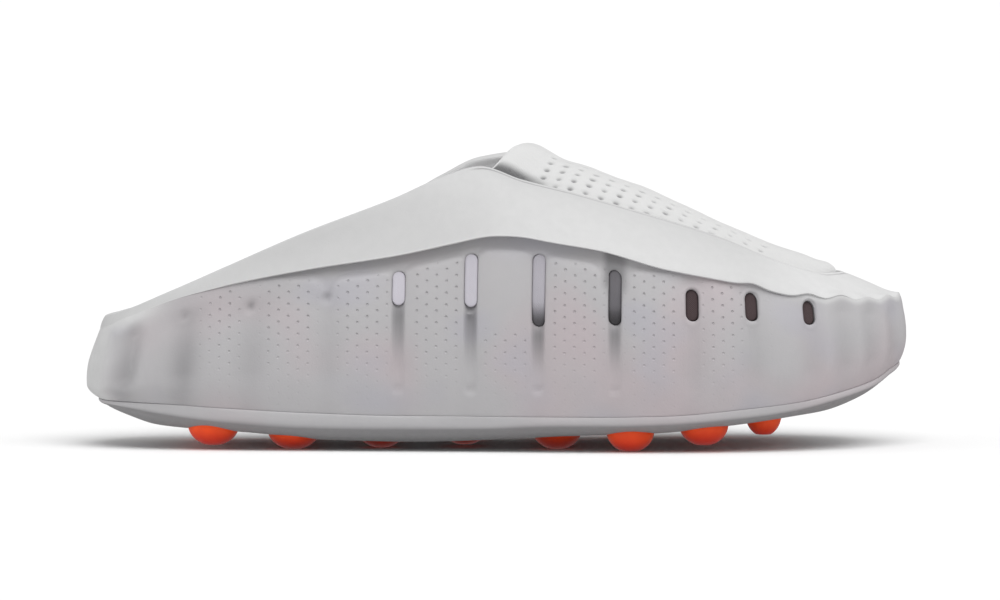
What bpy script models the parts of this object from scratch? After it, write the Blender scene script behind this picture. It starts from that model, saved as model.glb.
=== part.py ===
"""Sneaker mule, right shoe: a ribbed foam shell with slots, a textile vamp, an insole and a sole on pods.

+X points to the toe, +Y to the inner (medial) side and +Z up. The origin is under the middle of the shoe, on
the floor. Every loop round the shoe starts at the back of the heel, runs along the outer (lateral) side to the
toe and comes back along the medial side.
"""

import math

import bmesh
import bpy
import numpy as np

# Sizes of the shoe, in metres
LENGTH = 0.302
BALL_WIDTH = 0.106
THROAT_HEIGHT = 0.1045
HEEL_RIM_HEIGHT = 0.0475
TOE_RIM_HEIGHT = 0.0637
SEAM_HEIGHT = 0.0134
FIT_GAP = 0.0003

# Upper
WALL = 0.0045
RIM_WALL = 0.0030
RIM_ROLL = 0.0006
SEAM_TUCK = 0.0030
LEAN_POWER = 2.2
EDGE_ROUND = 0.0009
GROOVE_DEPTH = 0.0022
GROOVE_SPREAD = 0.0042
SCALLOP_RISE = 0.0016
SLOT_WIDTH = 0.0048

# Sole
RIM_BAND_PROUD = 0.0002
RIM_BAND_ROUND = 0.0008
TURN_INSET = 0.0018
UNDERSIDE_HEIGHT = 0.0023
UNDERSIDE_POWER = 7.0
CORE_WIDTH_SHARE = 0.10
PLATEAU_HEIGHT = 0.0300
CORE_GAP = 0.0007

# Insole
INSOLE_THICKNESS = 0.0040
INSOLE_EDGE_GAP = 0.0009
INSOLE_DISH = 0.0015

# Tongue
TONGUE_THICKNESS = 0.0024
TONGUE_CROWN = 0.0082
TONGUE_SINK = 0.0008
THROAT_ARC = 0.0065
TONGUE_ROWS = 22
TONGUE_COLUMNS = 10

# Pods
POD_RADIUS = 0.0092
POD_DROP = 0.0075
POD_HEIGHT = 0.0100
POD_FLAT = 0.0026
POD_SIDES = 10
POD_RINGS = 2

# Sections of the shell, from the back of the heel to the tip of the toe.
# along and rim_along are shares of LENGTH. The half widths out_ and rim_ are shares of BALL_WIDTH.
# rise_ is the share of the way from the heel or toe rim height up to the throat height.
# seam is a share of SEAM_HEIGHT, tuck a share of SEAM_TUCK, turn a share of the seam's own height.
# bulge and edge are shares of the way up: seam to edge, and seam to rim.
# lean and lip are shares of BALL_WIDTH: how far the wall's top leans in and the band overhangs it.
SECTION_COLUMNS = (
    "along", "out_lat", "out_med", "rim_along", "rim_lat", "rim_med", "rise_lat", "rise_med",
    "seam", "tuck", "turn", "bulge", "edge", "lean", "lip",
)
SECTIONS = (
    (0.000, 0.000, 0.000, 0.022, 0.000, 0.000, 0.000, 0.000, 1.31, 1.45, 0.90, 0.18, 0.85, 0.045, 0.000),
    (0.013, 0.160, 0.160, 0.032, 0.127, 0.127, 0.018, 0.010, 1.29, 1.40, 0.88, 0.18, 0.87, 0.044, 0.000),
    (0.043, 0.259, 0.255, 0.057, 0.212, 0.212, 0.072, 0.040, 1.29, 1.15, 0.83, 0.20, 0.90, 0.043, 0.001),
    (0.093, 0.330, 0.321, 0.103, 0.274, 0.270, 0.180, 0.115, 1.27, 0.85, 0.73, 0.23, 0.90, 0.043, 0.003),
    (0.167, 0.368, 0.358, 0.172, 0.307, 0.300, 0.340, 0.270, 1.18, 0.60, 0.62, 0.25, 0.86, 0.047, 0.008),
    (0.267, 0.392, 0.377, 0.263, 0.325, 0.315, 0.548, 0.485, 1.07, 0.50, 0.545, 0.26, 0.80, 0.050, 0.017),
    (0.383, 0.415, 0.387, 0.372, 0.316, 0.310, 0.770, 0.710, 1.00, 0.45, 0.56, 0.27, 0.745, 0.052, 0.025),
    (0.447, 0.433, 0.394, 0.433, 0.292, 0.300, 0.913, 0.890, 1.00, 0.45, 0.58, 0.27, 0.724, 0.053, 0.028),
    (0.500, 0.448, 0.406, 0.480, 0.259, 0.285, 0.973, 1.010, 0.99, 0.45, 0.61, 0.27, 0.724, 0.053, 0.030),
    (0.547, 0.464, 0.423, 0.530, 0.259, 0.270, 0.854, 1.060, 0.99, 0.45, 0.65, 0.28, 0.750, 0.053, 0.029),
    (0.617, 0.486, 0.448, 0.593, 0.255, 0.262, 0.735, 0.760, 0.99, 0.45, 0.67, 0.29, 0.750, 0.051, 0.024),
    (0.707, 0.498, 0.486, 0.680, 0.250, 0.258, 0.550, 0.550, 1.03, 0.45, 0.70, 0.31, 0.724, 0.048, 0.017),
    (0.793, 0.476, 0.495, 0.763, 0.226, 0.245, 0.355, 0.355, 1.19, 0.50, 0.74, 0.33, 0.727, 0.043, 0.013),
    (0.867, 0.415, 0.458, 0.830, 0.184, 0.215, 0.150, 0.150, 1.37, 0.60, 0.80, 0.35, 0.735, 0.038, 0.011),
    (0.923, 0.325, 0.387, 0.873, 0.150, 0.188, 0.045, 0.045, 1.63, 0.75, 0.845, 0.37, 0.760, 0.032, 0.010),
    (0.963, 0.217, 0.288, 0.898, 0.108, 0.160, 0.000, 0.000, 1.88, 0.90, 0.87, 0.39, 0.745, 0.028, 0.009),
    (0.990, 0.085, 0.160, 0.914, 0.040, 0.104, 0.000, 0.000, 2.18, 1.00, 0.90, 0.40, 0.725, 0.028, 0.009),
    (1.000, -0.038, 0.038, 0.920, -0.033, 0.033, 0.000, 0.000, 2.28, 1.00, 0.92, 0.40, 0.718, 0.029, 0.009),
)

# Grooves between the ribs: where they lie along LENGTH, how deep they are as a share of GROOVE_DEPTH, and for
# a slot the shares of the wall's height from seam to edge where it starts and ends. A groove with no slot has
# the same start and end.
GROOVE_COLUMNS = ("along", "depth", "slot_foot", "slot_head")
GROOVES = (
    (0.055, 0.80, 0.62, 0.62),
    (0.123, 0.80, 0.62, 0.62),
    (0.202, 0.85, 0.66, 0.66),
    (0.294, 0.90, 0.69, 0.69),
    (0.380, 1.00, 0.69, 0.90),
    (0.467, 1.00, 0.62, 0.92),
    (0.548, 1.00, 0.51, 0.92),
    (0.640, 1.00, 0.565, 0.91),
    (0.734, 1.00, 0.67, 0.90),
    (0.807, 1.00, 0.70, 0.93),
    (0.879, 1.00, 0.71, 0.94),
    (0.921, 0.90, 0.72, 0.72),
    (0.956, 0.90, 0.72, 0.72),
    (0.983, 0.70, 0.72, 0.72),
)
HEEL_GROOVE_REACH = 0.013
# Depth and slot shares of the grooves at the very back and at the tip
HEEL_GROOVE = (0.50, 0.62, 0.62)
TOE_GROOVE = (0.30, 0.72, 0.72)
SLOT_ROW_SHARE = 0.24
SLOT_END_SHARE = 0.035

# Centre line of the underside: where along LENGTH, and how high as a share of UNDERSIDE_HEIGHT
ROCKER_COLUMNS = ("along", "height")
ROCKER = (
    (0.013, 7.5),
    (0.027, 6.4),
    (0.050, 5.2),
    (0.087, 3.7),
    (0.123, 3.2),
    (0.197, 2.6),
    (0.300, 1.4),
    (0.400, 1.15),
    (0.500, 1.6),
    (0.583, 2.2),
    (0.693, 2.7),
    (0.783, 3.9),
    (0.857, 5.2),
    (0.895, 5.9),
    (0.933, 7.5),
    (0.967, 9.7),
    (0.987, 12.0),
)

# Top of the sole's core under the insole: where along LENGTH, and the share of PLATEAU_HEIGHT
FOOTBED_COLUMNS = ("along", "height")
FOOTBED = (
    (0.00, 1.06),
    (0.12, 1.00),
    (0.28, 0.98),
    (0.45, 1.02),
    (0.60, 0.94),
    (0.72, 0.86),
    (0.85, 0.92),
    (1.00, 1.10),
)

# Crown of the tongue over its edges: share of the way from throat to toe, and the share of TONGUE_CROWN
CROWN_COLUMNS = ("way", "height")
CROWN = (
    (0.00, 1.00),
    (0.06, 1.33),
    (0.11, 1.46),
    (0.20, 1.60),
    (0.32, 1.51),
    (0.50, 1.08),
    (0.70, 1.04),
    (0.85, 0.90),
    (0.94, 0.62),
    (1.00, 0.20),
)

# Rows of pods: where along LENGTH, how high the domes' ends hang as a share of POD_DROP, the share of
# POD_RADIUS, then the places across as shares of BALL_WIDTH, the lateral side first.
POD_COLUMNS = ("along", "hang", "radius", "across")
POD_ROWS = (
    (0.1565, 0.20, 1.02, (-0.22, 0.00, 0.21)),
    (0.2535, 0.00, 1.06, (-0.21, 0.00, 0.21)),
    (0.359, 0.00, 1.00, (-0.13, 0.12)),
    (0.460, 0.12, 1.00, (-0.10, 0.17)),
    (0.572, 0.00, 1.00, (-0.21, 0.01, 0.23)),
    (0.660, 0.00, 0.95, (-0.35, -0.02, 0.32)),
    (0.7485, 0.30, 0.98, (-0.33, 0.00, 0.33)),
    (0.8215, 0.72, 0.72, (-0.24, 0.02, 0.28)),
)

# Colour, roughness and metallic value of each material
FOAM_GREY = (0.62, 0.62, 0.63)
SOLE_GREY = (0.55, 0.55, 0.56)
TEXTILE_WHITE = (0.80, 0.80, 0.79)
INSOLE_GREY = (0.52, 0.52, 0.53)
POD_ORANGE = (0.85, 0.10, 0.02)


def column(table, names, name):
    """One named column of a table as an array."""
    return np.array([row[names.index(name)] for row in table], float)


def smooth_step(low, high, value):
    """0 below low, 1 above high and a smooth rise between."""
    share = np.clip((np.asarray(value, float) - low) / (high - low), 0.0, 1.0)
    return share * share * (3.0 - 2.0 * share)


def steady_slopes(knots, values, closed):
    """Slopes for a curve through the values that never overshoots them."""
    step = np.diff(knots)
    rate = np.diff(values) / step
    if closed:
        step = np.concatenate([step[-1:], step, step[:1]])
        rate = np.concatenate([rate[-1:], rate, rate[:1]])
    else:
        step = np.concatenate([step[:1], step, step[-1:]])
        rate = np.concatenate([rate[:1], rate, rate[-1:]])
    before, after = rate[:-1], rate[1:]
    weight_a = 2.0 * step[1:] + step[:-1]
    weight_b = step[1:] + 2.0 * step[:-1]
    safe_a = np.where(before == 0.0, 1.0, before)
    safe_b = np.where(after == 0.0, 1.0, after)
    mean = (weight_a + weight_b) / (weight_a / safe_a + weight_b / safe_b)
    return np.where(before * after > 0.0, mean, 0.0)


def free_slopes(knots, values):
    """Slopes of the smoothest closed curve through the values; the last value repeats the first."""
    step = np.diff(knots)
    rate = np.diff(values) / step
    count = len(step)
    matrix = np.zeros((count, count))
    right = np.zeros(count)
    for i in range(count):
        left_step, right_step = step[i - 1], step[i]
        matrix[i, i - 1] += 1.0 / left_step
        matrix[i, i] += 2.0 / left_step + 2.0 / right_step
        matrix[i, (i + 1) % count] += 1.0 / right_step
        right[i] = 3.0 * (rate[i - 1] / left_step + rate[i] / right_step)
    slopes = np.linalg.solve(matrix, right)
    return np.append(slopes, slopes[0])


def on_curve(knots, values, slopes, at):
    """Cubic curve with the given slopes, read at the places asked for."""
    at = np.asarray(at, float)
    i = np.clip(np.searchsorted(knots, at, side="right") - 1, 0, len(knots) - 2)
    step = knots[i + 1] - knots[i]
    s = (at - knots[i]) / step
    start = (2 * s**3 - 3 * s**2 + 1) * values[i] + (s**3 - 2 * s**2 + s) * step * slopes[i]
    end = (-2 * s**3 + 3 * s**2) * values[i + 1] + (s**3 - s**2) * step * slopes[i + 1]
    return start + end


def read_table(table, names, key, name, at):
    """A column read between the rows of a table that runs along its key column."""
    knots = column(table, names, key)
    values = column(table, names, name)
    at = np.clip(at, knots[0], knots[-1])
    return on_curve(knots, values, steady_slopes(knots, values, False), at)


def round_the_shoe(lateral, medial):
    """Values in the order of the loops: heel, lateral side, toe, medial side and the heel again."""
    return np.concatenate([lateral, medial[-2::-1]])


def section(name):
    return column(SECTIONS, SECTION_COLUMNS, name)


def from_heel(share):
    """X of a place given as a share of the length from the heel."""
    return (np.asarray(share, float) - 0.5) * LENGTH


# Loops of the shell at the rows of SECTIONS
ROW_OUT_X = round_the_shoe(from_heel(section("along")), from_heel(section("along")))
ROW_OUT_Y = round_the_shoe(-section("out_lat") * BALL_WIDTH, section("out_med") * BALL_WIDTH)
LOOP_KNOTS = np.append(0.0, np.cumsum(np.hypot(np.diff(ROW_OUT_X), np.diff(ROW_OUT_Y))))
LOOP_LENGTH = LOOP_KNOTS[-1]
TOE_KNOT = LOOP_KNOTS[len(SECTIONS) - 1]


def rim_heights(rise):
    """Heights of the rim: from the heel up to the throat, then from the toe up to the throat."""
    base = np.where(section("along") < 0.5, HEEL_RIM_HEIGHT, TOE_RIM_HEIGHT)
    return base + (THROAT_HEIGHT - base) * rise


ROW_RIM_X = round_the_shoe(from_heel(section("rim_along")), from_heel(section("rim_along")))
ROW_RIM_Y = round_the_shoe(-section("rim_lat") * BALL_WIDTH, section("rim_med") * BALL_WIDTH)
ROW_RIM_Z = round_the_shoe(rim_heights(section("rise_lat")), rim_heights(section("rise_med")))


def free_loop(values):
    """A smooth closed curve through the values at the section rows."""
    slopes = free_slopes(LOOP_KNOTS, values)
    return lambda t: on_curve(LOOP_KNOTS, values, slopes, np.mod(t, LOOP_LENGTH))


def steady_loop(values):
    """A closed curve through the values at the section rows that doesn't overshoot."""
    slopes = steady_slopes(LOOP_KNOTS, values, True)
    return lambda t: on_curve(LOOP_KNOTS, values, slopes, np.mod(t, LOOP_LENGTH))


def both_sides(name):
    return steady_loop(round_the_shoe(section(name), section(name)))


OUT_X = free_loop(ROW_OUT_X)
OUT_Y = free_loop(ROW_OUT_Y)
RIM_X = free_loop(ROW_RIM_X)
RIM_Y = free_loop(ROW_RIM_Y)
RIM_Z = steady_loop(ROW_RIM_Z)
SEAM = both_sides("seam")
TUCK = both_sides("tuck")
TURN = both_sides("turn")
BULGE = both_sides("bulge")
EDGE = both_sides("edge")
LEAN = both_sides("lean")
LIP = both_sides("lip")
ALONG = both_sides("along")


def plan_normal(t):
    """Direction that points out of the shoe, level, at a place on the outer loop."""
    small = LOOP_LENGTH / 4000.0
    dx = OUT_X(t + small) - OUT_X(t - small)
    dy = OUT_Y(t + small) - OUT_Y(t - small)
    size = np.hypot(dx, dy)
    return dy / size, -dx / size


def seam_z(t):
    return SEAM(t) * SEAM_HEIGHT


def groove_places():
    """Loop place, depth share and slot shares of each groove, in loop order."""
    fine = np.linspace(0.0, LOOP_LENGTH, 4001)
    fine_x = OUT_X(fine)
    toe = int(np.argmax(fine_x))
    found = [(HEEL_GROOVE_REACH, *HEEL_GROOVE), (LOOP_LENGTH - HEEL_GROOVE_REACH, *HEEL_GROOVE)]
    found.append((float(fine[toe]), *TOE_GROOVE))
    for row in GROOVES:
        groove = dict(zip(GROOVE_COLUMNS, row))
        x = from_heel(groove["along"])
        shape = (groove["depth"], groove["slot_foot"], groove["slot_head"])
        found.append((float(np.interp(x, fine_x[: toe + 1], fine[: toe + 1])), *shape))
        found.append((float(np.interp(x, fine_x[toe:][::-1], fine[toe:][::-1])), *shape))
    return sorted(found)


GROOVE_PLACES = groove_places()


def groove_share(t):
    """The groove's depth share in its middle, falling to 0 on the ribs."""
    t = np.mod(np.asarray(t, float), LOOP_LENGTH)
    share = np.zeros_like(t)
    for place, depth, _, _ in GROOVE_PLACES:
        away = np.abs(t - place)
        away = np.minimum(away, LOOP_LENGTH - away)
        share = np.maximum(share, depth * np.exp(-((away / GROOVE_SPREAD) ** 2)))
    return share


def edge_z(t):
    """Height of the top band's lower edge, which rises over each groove towards the toe."""
    rise = SCALLOP_RISE * smooth_step(0.74, 0.84, ALONG(t)) * groove_share(t)
    return seam_z(t) + EDGE(t) * (RIM_Z(t) - seam_z(t)) + rise


def wall_inset(t, h):
    """How far the plain wall lies inside the outer loop at the share h of its height."""
    bulge = BULGE(t)
    below = TUCK(t) * SEAM_TUCK * np.clip(1.0 - h / bulge, 0.0, 1.0) ** 2
    above = LEAN(t) * BALL_WIDTH * np.clip((h - bulge) / (1.0 - bulge), 0.0, 1.0) ** LEAN_POWER
    return below + above


def wall_point(t, h, inward):
    """Point at the share h of the wall's height, inward of the outer loop by the distance given."""
    nx, ny = plan_normal(t)
    z = seam_z(t) + (edge_z(t) - seam_z(t)) * h
    return np.stack([OUT_X(t) - nx * inward, OUT_Y(t) - ny * inward, z], axis=-1)


def plain_wall(t, h):
    return wall_point(t, h, wall_inset(t, h))


def plain_band(t, q):
    """The top band without its lip, from the wall's top at q = 0 to the rim at q = 1."""
    start = plain_wall(t, np.ones_like(np.asarray(t, float)))
    end = np.stack([RIM_X(t), RIM_Y(t), RIM_Z(t)], axis=-1)
    blunt = smooth_step(0.80, 0.95, ALONG(t))
    across = (0.36 + 0.10 * blunt)[..., None]
    upward = (0.66 - 0.12 * blunt)[..., None]
    middle = start + (end - start) * np.concatenate([across, across, upward], axis=-1)
    q = np.asarray(q, float)[..., None]
    return start * (1 - q) ** 2 + middle * 2 * q * (1 - q) + end * q**2


def plain_surface(t, v):
    """The shell's outside without ribs and lip: the wall for v from 0 to 1, the band from 1 to 2."""
    t, v = np.broadcast_arrays(np.asarray(t, float), np.asarray(v, float))
    wall = plain_wall(t, np.clip(v, 0.0, 1.0))
    band = plain_band(t, np.clip(v - 1.0, 0.0, 1.0))
    return np.where((v <= 1.0)[..., None], wall, band)


def surface_normal(t, v):
    """Outward direction of the plain surface, at right angles to it."""
    t, v = np.broadcast_arrays(np.asarray(t, float), np.asarray(v, float))
    small_t = LOOP_LENGTH / 400.0
    round_way = plain_surface(t + small_t, v) - plain_surface(t - small_t, v)
    up_way = plain_surface(t, np.minimum(v + 0.06, 2.0)) - plain_surface(t, np.maximum(v - 0.06, 0.0))
    normal = np.cross(round_way, up_way)
    return normal / np.linalg.norm(normal, axis=-1, keepdims=True)


def inner_surface(t, v):
    """The shell's inside, a wall's thickness from the plain surface and thinner at the rim."""
    t, v = np.broadcast_arrays(np.asarray(t, float), np.asarray(v, float))
    thickness = WALL + (RIM_WALL - WALL) * smooth_step(1.0, 2.0, v)
    points = plain_surface(t, v) - surface_normal(t, v) * thickness[..., None]
    points[..., 2] = np.where(v <= 0.0, seam_z(t), points[..., 2])
    return points


def outer_wall(t, h):
    """The ribbed outside of the wall."""
    depth = GROOVE_DEPTH * groove_share(t) * smooth_step(0.03, 0.35, h)
    return wall_point(t, h, wall_inset(t, h) + depth)


def outer_band(t, q):
    """The outside of the top band, whose lower edge stands proud of the wall."""
    points = plain_band(t, q)
    nx, ny = plan_normal(t)
    proud = LIP(t) * BALL_WIDTH * np.clip(1.0 - np.asarray(q, float) / 0.7, 0.0, 1.0) ** 2
    points[..., 0] += nx * proud
    points[..., 1] += ny * proud
    return points


def slot_rows(t):
    """Shares of the wall's height where a row of the mesh passes the slots' feet and heads."""
    places = np.array([row[0] for row in GROOVE_PLACES])
    foot = np.array([row[2] for row in GROOVE_PLACES])
    head = np.array([row[3] + SLOT_ROW_SHARE * (row[3] == row[2]) for row in GROOVE_PLACES])
    return (
        np.interp(t, places, foot, period=LOOP_LENGTH),
        np.interp(t, places, head, period=LOOP_LENGTH),
    )


def shell_columns():
    """Loop places of the mesh's columns, the index of each slot's middle column, and the sole's columns."""
    places = []
    for i, (place, _, foot, head) in enumerate(GROOVE_PLACES):
        following = GROOVE_PLACES[(i + 1) % len(GROOVE_PLACES)][0]
        gap = (following - place) % LOOP_LENGTH
        places.append((place - SLOT_WIDTH / 2, False, False))
        places.append((place, head > foot, True))
        places.append((place + SLOT_WIDTH / 2, False, False))
        places.append((place + gap / 2, False, True))
    order = sorted((float(np.mod(place, LOOP_LENGTH)), slot, shared) for place, slot, shared in places)
    columns = np.array([row[0] for row in order])
    slots = [i for i, row in enumerate(order) if row[1]]
    shared = np.array([row[0] for row in order if row[2]])
    return columns, slots, shared


COLUMNS, SLOT_COLUMNS, SOLE_COLUMNS = shell_columns()


def material(name, colour, roughness):
    """A plain surface with the colour, roughness and metallic value of its part."""
    made = bpy.data.materials.new(name)
    made.use_nodes = True
    shader = made.node_tree.nodes["Principled BSDF"]
    shader.inputs["Base Color"].default_value = (*colour, 1.0)
    shader.inputs["Roughness"].default_value = roughness
    shader.inputs["Metallic"].default_value = 0.0
    return made


def make_object(name, points, faces, made_of):
    """A mesh object with unused points dropped, its faces turned outward and its round parts smooth."""
    mesh = bpy.data.meshes.new(name)
    mesh.from_pydata([tuple(point) for point in points], [], faces)
    work = bmesh.new()
    work.from_mesh(mesh)
    bmesh.ops.delete(work, geom=[vert for vert in work.verts if not vert.link_faces], context="VERTS")
    bmesh.ops.recalc_face_normals(work, faces=work.faces)
    work.to_mesh(mesh)
    work.free()
    mesh.materials.append(made_of)
    mesh.shade_smooth()
    mesh.set_sharp_from_angle(angle=math.radians(45))
    obj = bpy.data.objects.new(name, mesh)
    bpy.context.scene.collection.objects.link(obj)
    return obj


def join_loops(faces, lower, upper):
    """Quads between two closed rows of point numbers."""
    count = len(lower)
    for i in range(count):
        j = (i + 1) % count
        faces.append((lower[i], lower[j], upper[j], upper[i]))


def zip_across(faces, loop, points):
    """Triangles between the lateral and the medial half of a narrow closed row, from heel to toe."""
    xs = [points[k][0] for k in loop]
    toe = int(np.argmax(xs))
    heel = int(np.argmin(xs))
    ring = loop[heel:] + loop[:heel]
    toe_at = (toe - heel) % len(loop)
    left = ring[: toe_at + 1]
    right = [ring[0]] + ring[:toe_at - 1:-1]
    i, j = 0, 0
    while i < len(left) - 1 or j < len(right) - 1:
        take_left = j >= len(right) - 1 or (
            i < len(left) - 1 and points[left[i + 1]][0] <= points[right[j + 1]][0]
        )
        corner = left[i + 1] if take_left else right[j + 1]
        triangle = (left[i], right[j], corner)
        if len(set(triangle)) == 3:
            faces.append(triangle)
        if take_left:
            i += 1
        else:
            j += 1


class Rows:
    """Points and faces of a solid made of closed rows."""

    def __init__(self):
        self.points = []
        self.faces = []

    def add(self, row):
        start = len(self.points)
        self.points.extend(np.asarray(row, float).tolist())
        return list(range(start, len(self.points)))


def make_upper():
    """The hollow shell, open underneath, at the collar and at the vamp, with its slots cut through."""
    t = COLUMNS
    ones = np.ones_like(t)
    foot, head = slot_rows(t)
    round_foot, round_head = foot.copy(), head.copy()
    for middle in SLOT_COLUMNS:
        for side in (-1, 1):
            round_foot[middle + side] = foot[middle] + SLOT_END_SHARE
            round_head[middle + side] = head[middle] - SLOT_END_SHARE
        round_foot[middle], round_head[middle] = foot[middle], head[middle]
    wall_rows = [0 * ones, 0.10 * ones, BULGE(t), round_foot, (foot + head) / 2, round_head]
    slot_first, slot_last = 3, 5
    rows = Rows()
    outer = [rows.add(outer_wall(t, h)) for h in wall_rows]
    nx, ny = plan_normal(t)
    out_way = np.stack([nx, ny, 0 * nx], axis=-1)
    up_way = np.array([0.0, 0.0, 1.0])
    round_edge = EDGE_ROUND * smooth_step(0.05, 0.25, LIP(t) / section("lip").max())[:, None]
    outer.append(rows.add(outer_wall(t, ones) - up_way * EDGE_ROUND))
    edge = outer_band(t, 0 * ones)
    outer.append(rows.add(edge - up_way * EDGE_ROUND))
    outer.append(rows.add(edge + out_way * round_edge * 0.4 + up_way * EDGE_ROUND))
    for q in (0.30, 0.65, 1.0):
        outer.append(rows.add(outer_band(t, q * ones)))
    inner = [rows.add(inner_surface(t, h)) for h in wall_rows]
    for v in (1.0, 2.0):
        inner.append(rows.add(inner_surface(t, v * ones)))
    crest = (outer_band(t, ones) + inner_surface(t, 2 * ones)) / 2
    crest[:, 2] += RIM_ROLL
    crest_row = rows.add(crest)

    count = len(t)
    gap_columns = {}
    for middle in SLOT_COLUMNS:
        gap_columns[middle - 1] = middle
        gap_columns[middle] = middle

    def open_here(row, col):
        return col in gap_columns and slot_first <= row < slot_last

    for grid in (outer, inner):
        for row in range(len(grid) - 1):
            for col in range(count):
                if open_here(row, col):
                    continue
                after = (col + 1) % count
                rows.faces.append((grid[row][col], grid[row][after], grid[row + 1][after], grid[row + 1][col]))
    for middle in SLOT_COLUMNS:
        ring = [(slot_first, middle), (slot_first, middle + 1)]
        ring += [(row, middle + 1) for row in range(slot_first + 1, slot_last + 1)]
        ring += [(slot_last, middle)]
        ring += [(row, middle - 1) for row in range(slot_last, slot_first - 1, -1)]
        for i, (row, col) in enumerate(ring):
            next_row, next_col = ring[(i + 1) % len(ring)]
            rows.faces.append(
                (outer[row][col], outer[next_row][next_col], inner[next_row][next_col], inner[row][col])
            )
    join_loops(rows.faces, inner[0], outer[0])
    join_loops(rows.faces, outer[-1], crest_row)
    join_loops(rows.faces, crest_row, inner[-1])
    return make_object("upper", rows.points, rows.faces, material("foam_grey", FOAM_GREY, 0.6))


def centre_y(x):
    """Middle line of the shoe seen from above."""
    half = int(len(SECTIONS))
    lateral = np.interp(x, ROW_OUT_X[:half], ROW_OUT_Y[:half])
    medial = np.interp(x, ROW_OUT_X[half - 1:][::-1], ROW_OUT_Y[half - 1:][::-1])
    ends = smooth_step(0.0, 0.06, (x / LENGTH) + 0.5) * smooth_step(0.0, 0.06, 0.5 - x / LENGTH)
    return (lateral + medial) / 2 * ends + (1 - ends) * np.where(x > 0, ROW_OUT_Y[half - 1], 0.0)


def core_loop(t, width_share):
    """A narrow loop about the shoe's middle line, inside the rim's own loop."""
    x = RIM_X(t)
    middle = centre_y(x)
    return x, middle + (RIM_Y(t) - middle) * width_share


def underside_z(x, turn_height, share):
    """Height of the sole's underside at a share of the way from its turned edge to the middle line."""
    middle = UNDERSIDE_HEIGHT * read_table(ROCKER, ROCKER_COLUMNS, "along", "height", x / LENGTH + 0.5)
    return middle + (turn_height - middle) * (1.0 - share) ** UNDERSIDE_POWER


def footbed_z(x):
    return PLATEAU_HEIGHT * read_table(FOOTBED, FOOTBED_COLUMNS, "along", "height", x / LENGTH + 0.5)


def level_of(t, z):
    """The surface share v of the wall at a height."""
    return (z - seam_z(t)) / (edge_z(t) - seam_z(t))


def inside_wall(t, z, gap):
    """Plan places inside the shell's inner wall at a height, with a gap to it."""
    points = inner_surface(t, level_of(t, z))
    nx, ny = plan_normal(t)
    return points[:, 0] - nx * gap, points[:, 1] - ny * gap


def flat_row(x, y, z):
    return np.stack([x, y, z + 0 * x], axis=-1)


def socket_cutter():
    """One hidden object with a round cutter for each pod's socket."""
    rows = Rows()
    for x, y, low, radius in pod_places():
        ring_x, ring_y = pod_ring(radius + FIT_GAP)
        bottom = rows.add(flat_row(x + ring_x, y + ring_y, low - POD_HEIGHT))
        top = rows.add(flat_row(x + ring_x, y + ring_y, low + POD_HEIGHT + FIT_GAP))
        rows.faces.append(tuple(bottom))
        join_loops(rows.faces, bottom, top)
        rows.faces.append(tuple(top))
    cutter = make_object("sockets", rows.points, rows.faces, material("socket_grey", SOLE_GREY, 0.65))
    cutter.hide_render = True
    cutter.display_type = "WIRE"
    return cutter


def make_sole():
    """The carrier under the shell: rim band, rocker underside with sockets, and the core under the insole."""
    t = SOLE_COLUMNS
    rows = Rows()
    top = seam_z(t) - FIT_GAP
    turn = seam_z(t) * TURN(t)

    def ring(inset, z):
        nx, ny = plan_normal(t)
        return flat_row(OUT_X(t) - nx * inset, OUT_Y(t) - ny * inset, z)

    underside = []
    tuck = TUCK(t) * SEAM_TUCK
    core_x, core_y = core_loop(t, CORE_WIDTH_SHARE)
    edge = ring(tuck + TURN_INSET, turn)
    for share in (1.0, 0.30, 0.09):
        x = edge[:, 0] + (core_x - edge[:, 0]) * share
        y = edge[:, 1] + (core_y - edge[:, 1]) * share
        underside.append(rows.add(flat_row(x, y, underside_z(x, turn, share))))
    sides = [
        rows.add(edge),
        rows.add(ring(tuck - RIM_BAND_PROUD + RIM_BAND_ROUND, turn + (top - turn) * 0.35)),
        rows.add(ring(tuck - RIM_BAND_PROUD, turn + (top - turn) * 0.75)),
        rows.add(ring(tuck, top)),
    ]
    foot_x, foot_y = inside_wall(t, seam_z(t), CORE_GAP)
    ledge = rows.add(flat_row(foot_x, foot_y, top))
    height = footbed_z(OUT_X(t))
    middle = (top + height) / 2
    middle_x, middle_y = inside_wall(t, middle, CORE_GAP)
    high_x, high_y = inside_wall(t, height, CORE_GAP)
    plateau = [rows.add(flat_row(middle_x, middle_y, middle)), rows.add(flat_row(high_x, high_y, height))]
    for share in (0.5, 1.0):
        x = high_x + (core_x - high_x) * share
        y = high_y + (core_y - high_y) * share
        plateau.append(rows.add(flat_row(x, y, footbed_z(x))))
    zip_across(rows.faces, underside[0], rows.points)
    chain = underside + sides + [ledge] + plateau
    for lower, upper in zip(chain, chain[1:]):
        join_loops(rows.faces, lower, upper)
    zip_across(rows.faces, plateau[-1], rows.points)
    sole = make_object("sole", rows.points, rows.faces, material("sole_grey", SOLE_GREY, 0.65))
    sockets = sole.modifiers.new("sockets", "BOOLEAN")
    sockets.operation = "DIFFERENCE"
    sockets.solver = "EXACT"
    sockets.object = socket_cutter()
    return sole


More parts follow.
